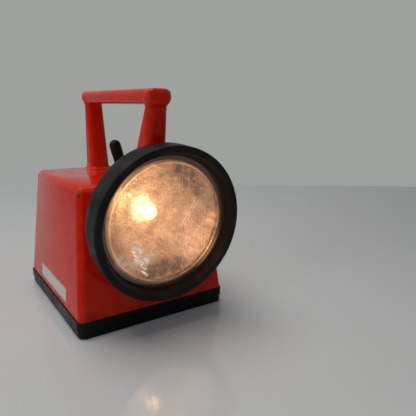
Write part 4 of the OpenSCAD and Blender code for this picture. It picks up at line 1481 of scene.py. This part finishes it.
@dataclass
class InnerWorks:
    """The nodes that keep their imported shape, each with its finish."""

    finishes: tuple = (
        (Moulding("tray_black", (0.0035, 0.0035, 0.0038), (0.018, 0.018, 0.018), gloss=0.14), ("base_tray",)),
        (Rubber("seal_rubber"), ("tray_seal", "lens_seal")),
        (Metal("zinc_steel", (0.56, 0.56, 0.55), (0.3, 0.29, 0.27)),
         ("handle_screws", "tray_screws", "contact_nuts", "battery_strap", "strap_screws", "pivot_pin")),
        (Metal("lit_nickel", (0.6, 0.58, 0.54), (0.36, 0.33, 0.29), lit=6.0), ("bulb_holder",)),
        (Metal("nickel_plate", (0.6, 0.58, 0.54), (0.36, 0.33, 0.29), 0.22),
         ("switch_bushing", "toggle_lever", "contact_lugs", "battery_tabs")),
        (Metal("lit_brass", (0.64, 0.45, 0.17), (0.4, 0.28, 0.12), lit=6.0), ("bulb_cap",)),
        (Metal("dull_brass", (0.64, 0.45, 0.17), (0.32, 0.21, 0.09)),
         ("charging_contacts", "battery_lugs", "centre_contact", "shell_tag", "switch_tabs")),
        (Moulding("battery_case", (0.05, 0.055, 0.06), (0.1, 0.1, 0.1), 0.42), ("battery",)),
        (Moulding("fibre_board", (0.2, 0.11, 0.05), (0.3, 0.19, 0.1), 0.6, 0.2), ("holder_insulator",)),
        (Moulding("brown_bakelite", (0.035, 0.02, 0.012), (0.07, 0.045, 0.03), 0.25), ("switch_case",)),
        (Glowing("filament_glow", (1.0, 0.78, 0.45), 60.0), ("bulb_filament",)),
        (Moulding("red_wire", (0.4, 0.02, 0.015), (0.5, 0.08, 0.06), 0.35, 0.1),
         ("switch_feed_lead", "lamp_feed_lead", "charge_lead_right")),
        (Moulding("black_wire", (0.02, 0.02, 0.02), (0.06, 0.06, 0.06), 0.35, 0.1),
         ("lamp_return_lead", "charge_lead_left")),
    )

    def build(self) -> None:
        """Dresses the nodes."""
        for finish, nodes in self.finishes:
            material = finish.make()
            for name in nodes:
                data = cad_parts[name].data
                data.materials.clear()
                data.materials.append(material)
                log.info("%s: %s", name, finish.name)


@dataclass
class Studio:
    """Floor, soft light and the camera at the photograph's viewing angle, in metres."""

    eye: tuple = (-0.147001, -0.357309, 0.161436)
    right: tuple = (0.824496, -0.565835, 0.006114)
    up: tuple = (0.114607, 0.17756, 0.977414)
    back: tuple = (-0.554141, -0.805173, 0.211246)
    focal: float = 36.522
    sensor: float = 36.0
    clip_near: float = 0.01
    floor_far: float = 1.008
    floor_side: float = 1.25
    floor_colour: tuple = (0.6, 0.61, 0.61)
    floor_shade: float = 0.96
    floor_rough: float = 0.065
    floor_clouds: Cloud = (3.0, 4.0, 0.3, 0.7)
    wall_colour: tuple = (0.345, 0.355, 0.345)
    room_colour: tuple = (0.045, 0.045, 0.045)
    ambient: tuple = ((0.9, 0.95, 1.0), 0.17)
    ceiling: tuple = ((1.0, 0.98, 0.95), 3.0)
    bright_side: tuple = ((-0.45, 0.78, 0.43), -0.15, 0.55)
    horizon: tuple = ((0.0, 0.0, 1.0), 0.3, 0.04)
    above: tuple = ((-0.17, 0.1, 0.98), 0.8, 1.0)
    aim: tuple = (0.0, -0.02, 0.08)
    lamps: tuple = (
        ("overhead", (-0.25, 0.15, 1.5), 1.1, 13.5, (1.0, 0.98, 0.95)),
        ("side", (-1.33, -0.36, 0.45), 0.7, 3.9, (0.95, 0.98, 1.0)),
        ("front", (0.7, -1.1, 1.2), 0.5, 0.25, (1.0, 0.98, 0.95)),
    )

    def camera(self) -> None:
        """Makes the camera."""
        data = bpy.data.cameras.new("camera")
        data.lens, data.sensor_width, data.sensor_fit = self.focal, self.sensor, "HORIZONTAL"
        data.clip_start = self.clip_near
        rig = bpy.data.objects.new("camera", data)
        columns = (self.right, self.up, self.back, self.eye)
        rig.matrix_world = Matrix([[c[i] for c in columns] for i in range(3)] + [[0, 0, 0, 1]])
        bpy.context.scene.collection.objects.link(rig)
        bpy.context.scene.camera = rig

    def floor(self) -> None:
        """Makes the floor, which ends behind the lantern where the pale wall begins."""
        ahead = Vector((-self.back[0], -self.back[1], 0)).normalized()
        side = Vector((ahead.y, -ahead.x, 0)) * self.floor_side
        far = Vector((self.eye[0], self.eye[1], 0)) + ahead * self.floor_far
        near = far - ahead * 2 * self.floor_side
        corners = [tuple(c) for c in (near - side, near + side, far + side, far - side)]
        s = Shader("studio_floor")
        shade = tuple(self.floor_shade * c for c in self.floor_colour)
        material = s.finish({
            "Base Color": s.mix(s.cloud(*self.floor_clouds), self.floor_colour, shade),
            "Roughness": self.floor_rough, "Specular IOR Level": 0.5,
        })
        mesh = to_mesh("studio_floor", np.array(corners) / MM, [(0, 1, 2, 3)])
        add_object("studio_floor", mesh, material)

    def world(self) -> None:
        """Makes the surroundings: a pale wall for the camera, and a room that is dark in front for gloss."""
        world = bpy.data.worlds.new("studio")
        world.use_nodes = True
        bpy.context.scene.world = world
        n = Nodes(world.node_tree)
        around = n.out("ShaderNodeTexCoord", {}, "Generated")

        def plain(colour: Numbers, strength: float = 1.0) -> Signal:
            """A background of one colour."""
            return n.out("ShaderNodeBackground", {0: colour, 1: strength})

        def mixed(share: Signal, first: Signal, second: Signal) -> Signal:
            """A mix of two backgrounds."""
            return n.out("ShaderNodeMixShader", {0: share, 1: first, 2: second})

        def towards(way: Numbers, low: float, high: float) -> Signal:
            """A soft patch of the surroundings that lies one way."""
            return n.span(n.vector("DOT_PRODUCT", around, way, "Value"), low, high)

        wall, ceiling = plain(self.wall_colour), plain(*self.ceiling)
        gloss = plain(self.room_colour)
        for patch, light in ((self.bright_side, wall), (self.horizon, wall), (self.above, ceiling)):
            gloss = mixed(towards(*patch), gloss, light)
        shown = plain(*self.ambient)
        for ray, seen in (("Glossy", gloss), ("Transmission", wall), ("Camera", wall)):
            shown = mixed(n.out("ShaderNodeLightPath", {}, f"Is {ray} Ray"), shown, seen)
        n.put(world.node_tree.nodes["World Output"].inputs["Surface"], shown)

    def lamp(self, name: str, at: Numbers, size: float, power: float, colour: Numbers) -> None:
        """Makes one soft light that looks at the lantern and that gloss doesn't mirror.

        Args:
            name: Its name.
            at: Where it stands.
            size: Its width.
            power: Its power, in watts.
            colour: Its colour.
        """
        data = bpy.data.lights.new(name, "AREA")
        data.shape, data.size, data.energy, data.color = "DISK", size, power, colour
        rig = bpy.data.objects.new(name, data)
        rig.location = at
        rig.visible_glossy = False
        rig.rotation_euler = (Vector(self.aim) - Vector(at)).to_track_quat("-Z", "Y").to_euler()
        bpy.context.scene.collection.objects.link(rig)

    def build(self) -> None:
        """Makes the whole studio."""
        self.camera()
        self.floor()
        self.world()
        for lamp in self.lamps:
            self.lamp(*lamp)
        bpy.context.scene.view_settings.view_transform = "Standard"


def main() -> None:
    """Builds studio and lantern in order."""
    logging.basicConfig(level=logging.INFO, format="%(name)s: %(message)s")
    Studio().build()
    casing = Casing(Enamel().make())
    casing.build()
    CarryHandle(casing).build()
    LampHead(
        Rubber("bezel_rubber").make(), LensGlass().make(), PressedGlass().make(), Silvering().make(),
        Glowing("bulb_glow", (1.0, 0.5, 0.17), 9.0, 0.6).make(),
    ).build()
    collar = Moulding("collar_black", (0.014, 0.014, 0.015), (0.05, 0.05, 0.05), 0.36, 0.3)
    ToggleSwitch(Rubber("boot_rubber", rough=0.38, dusty=0.25).make(), collar.make()).build()
    BareLabel(casing, Paper().make()).build()
    InnerWorks().build()


if __name__ == "__main__":
    main()
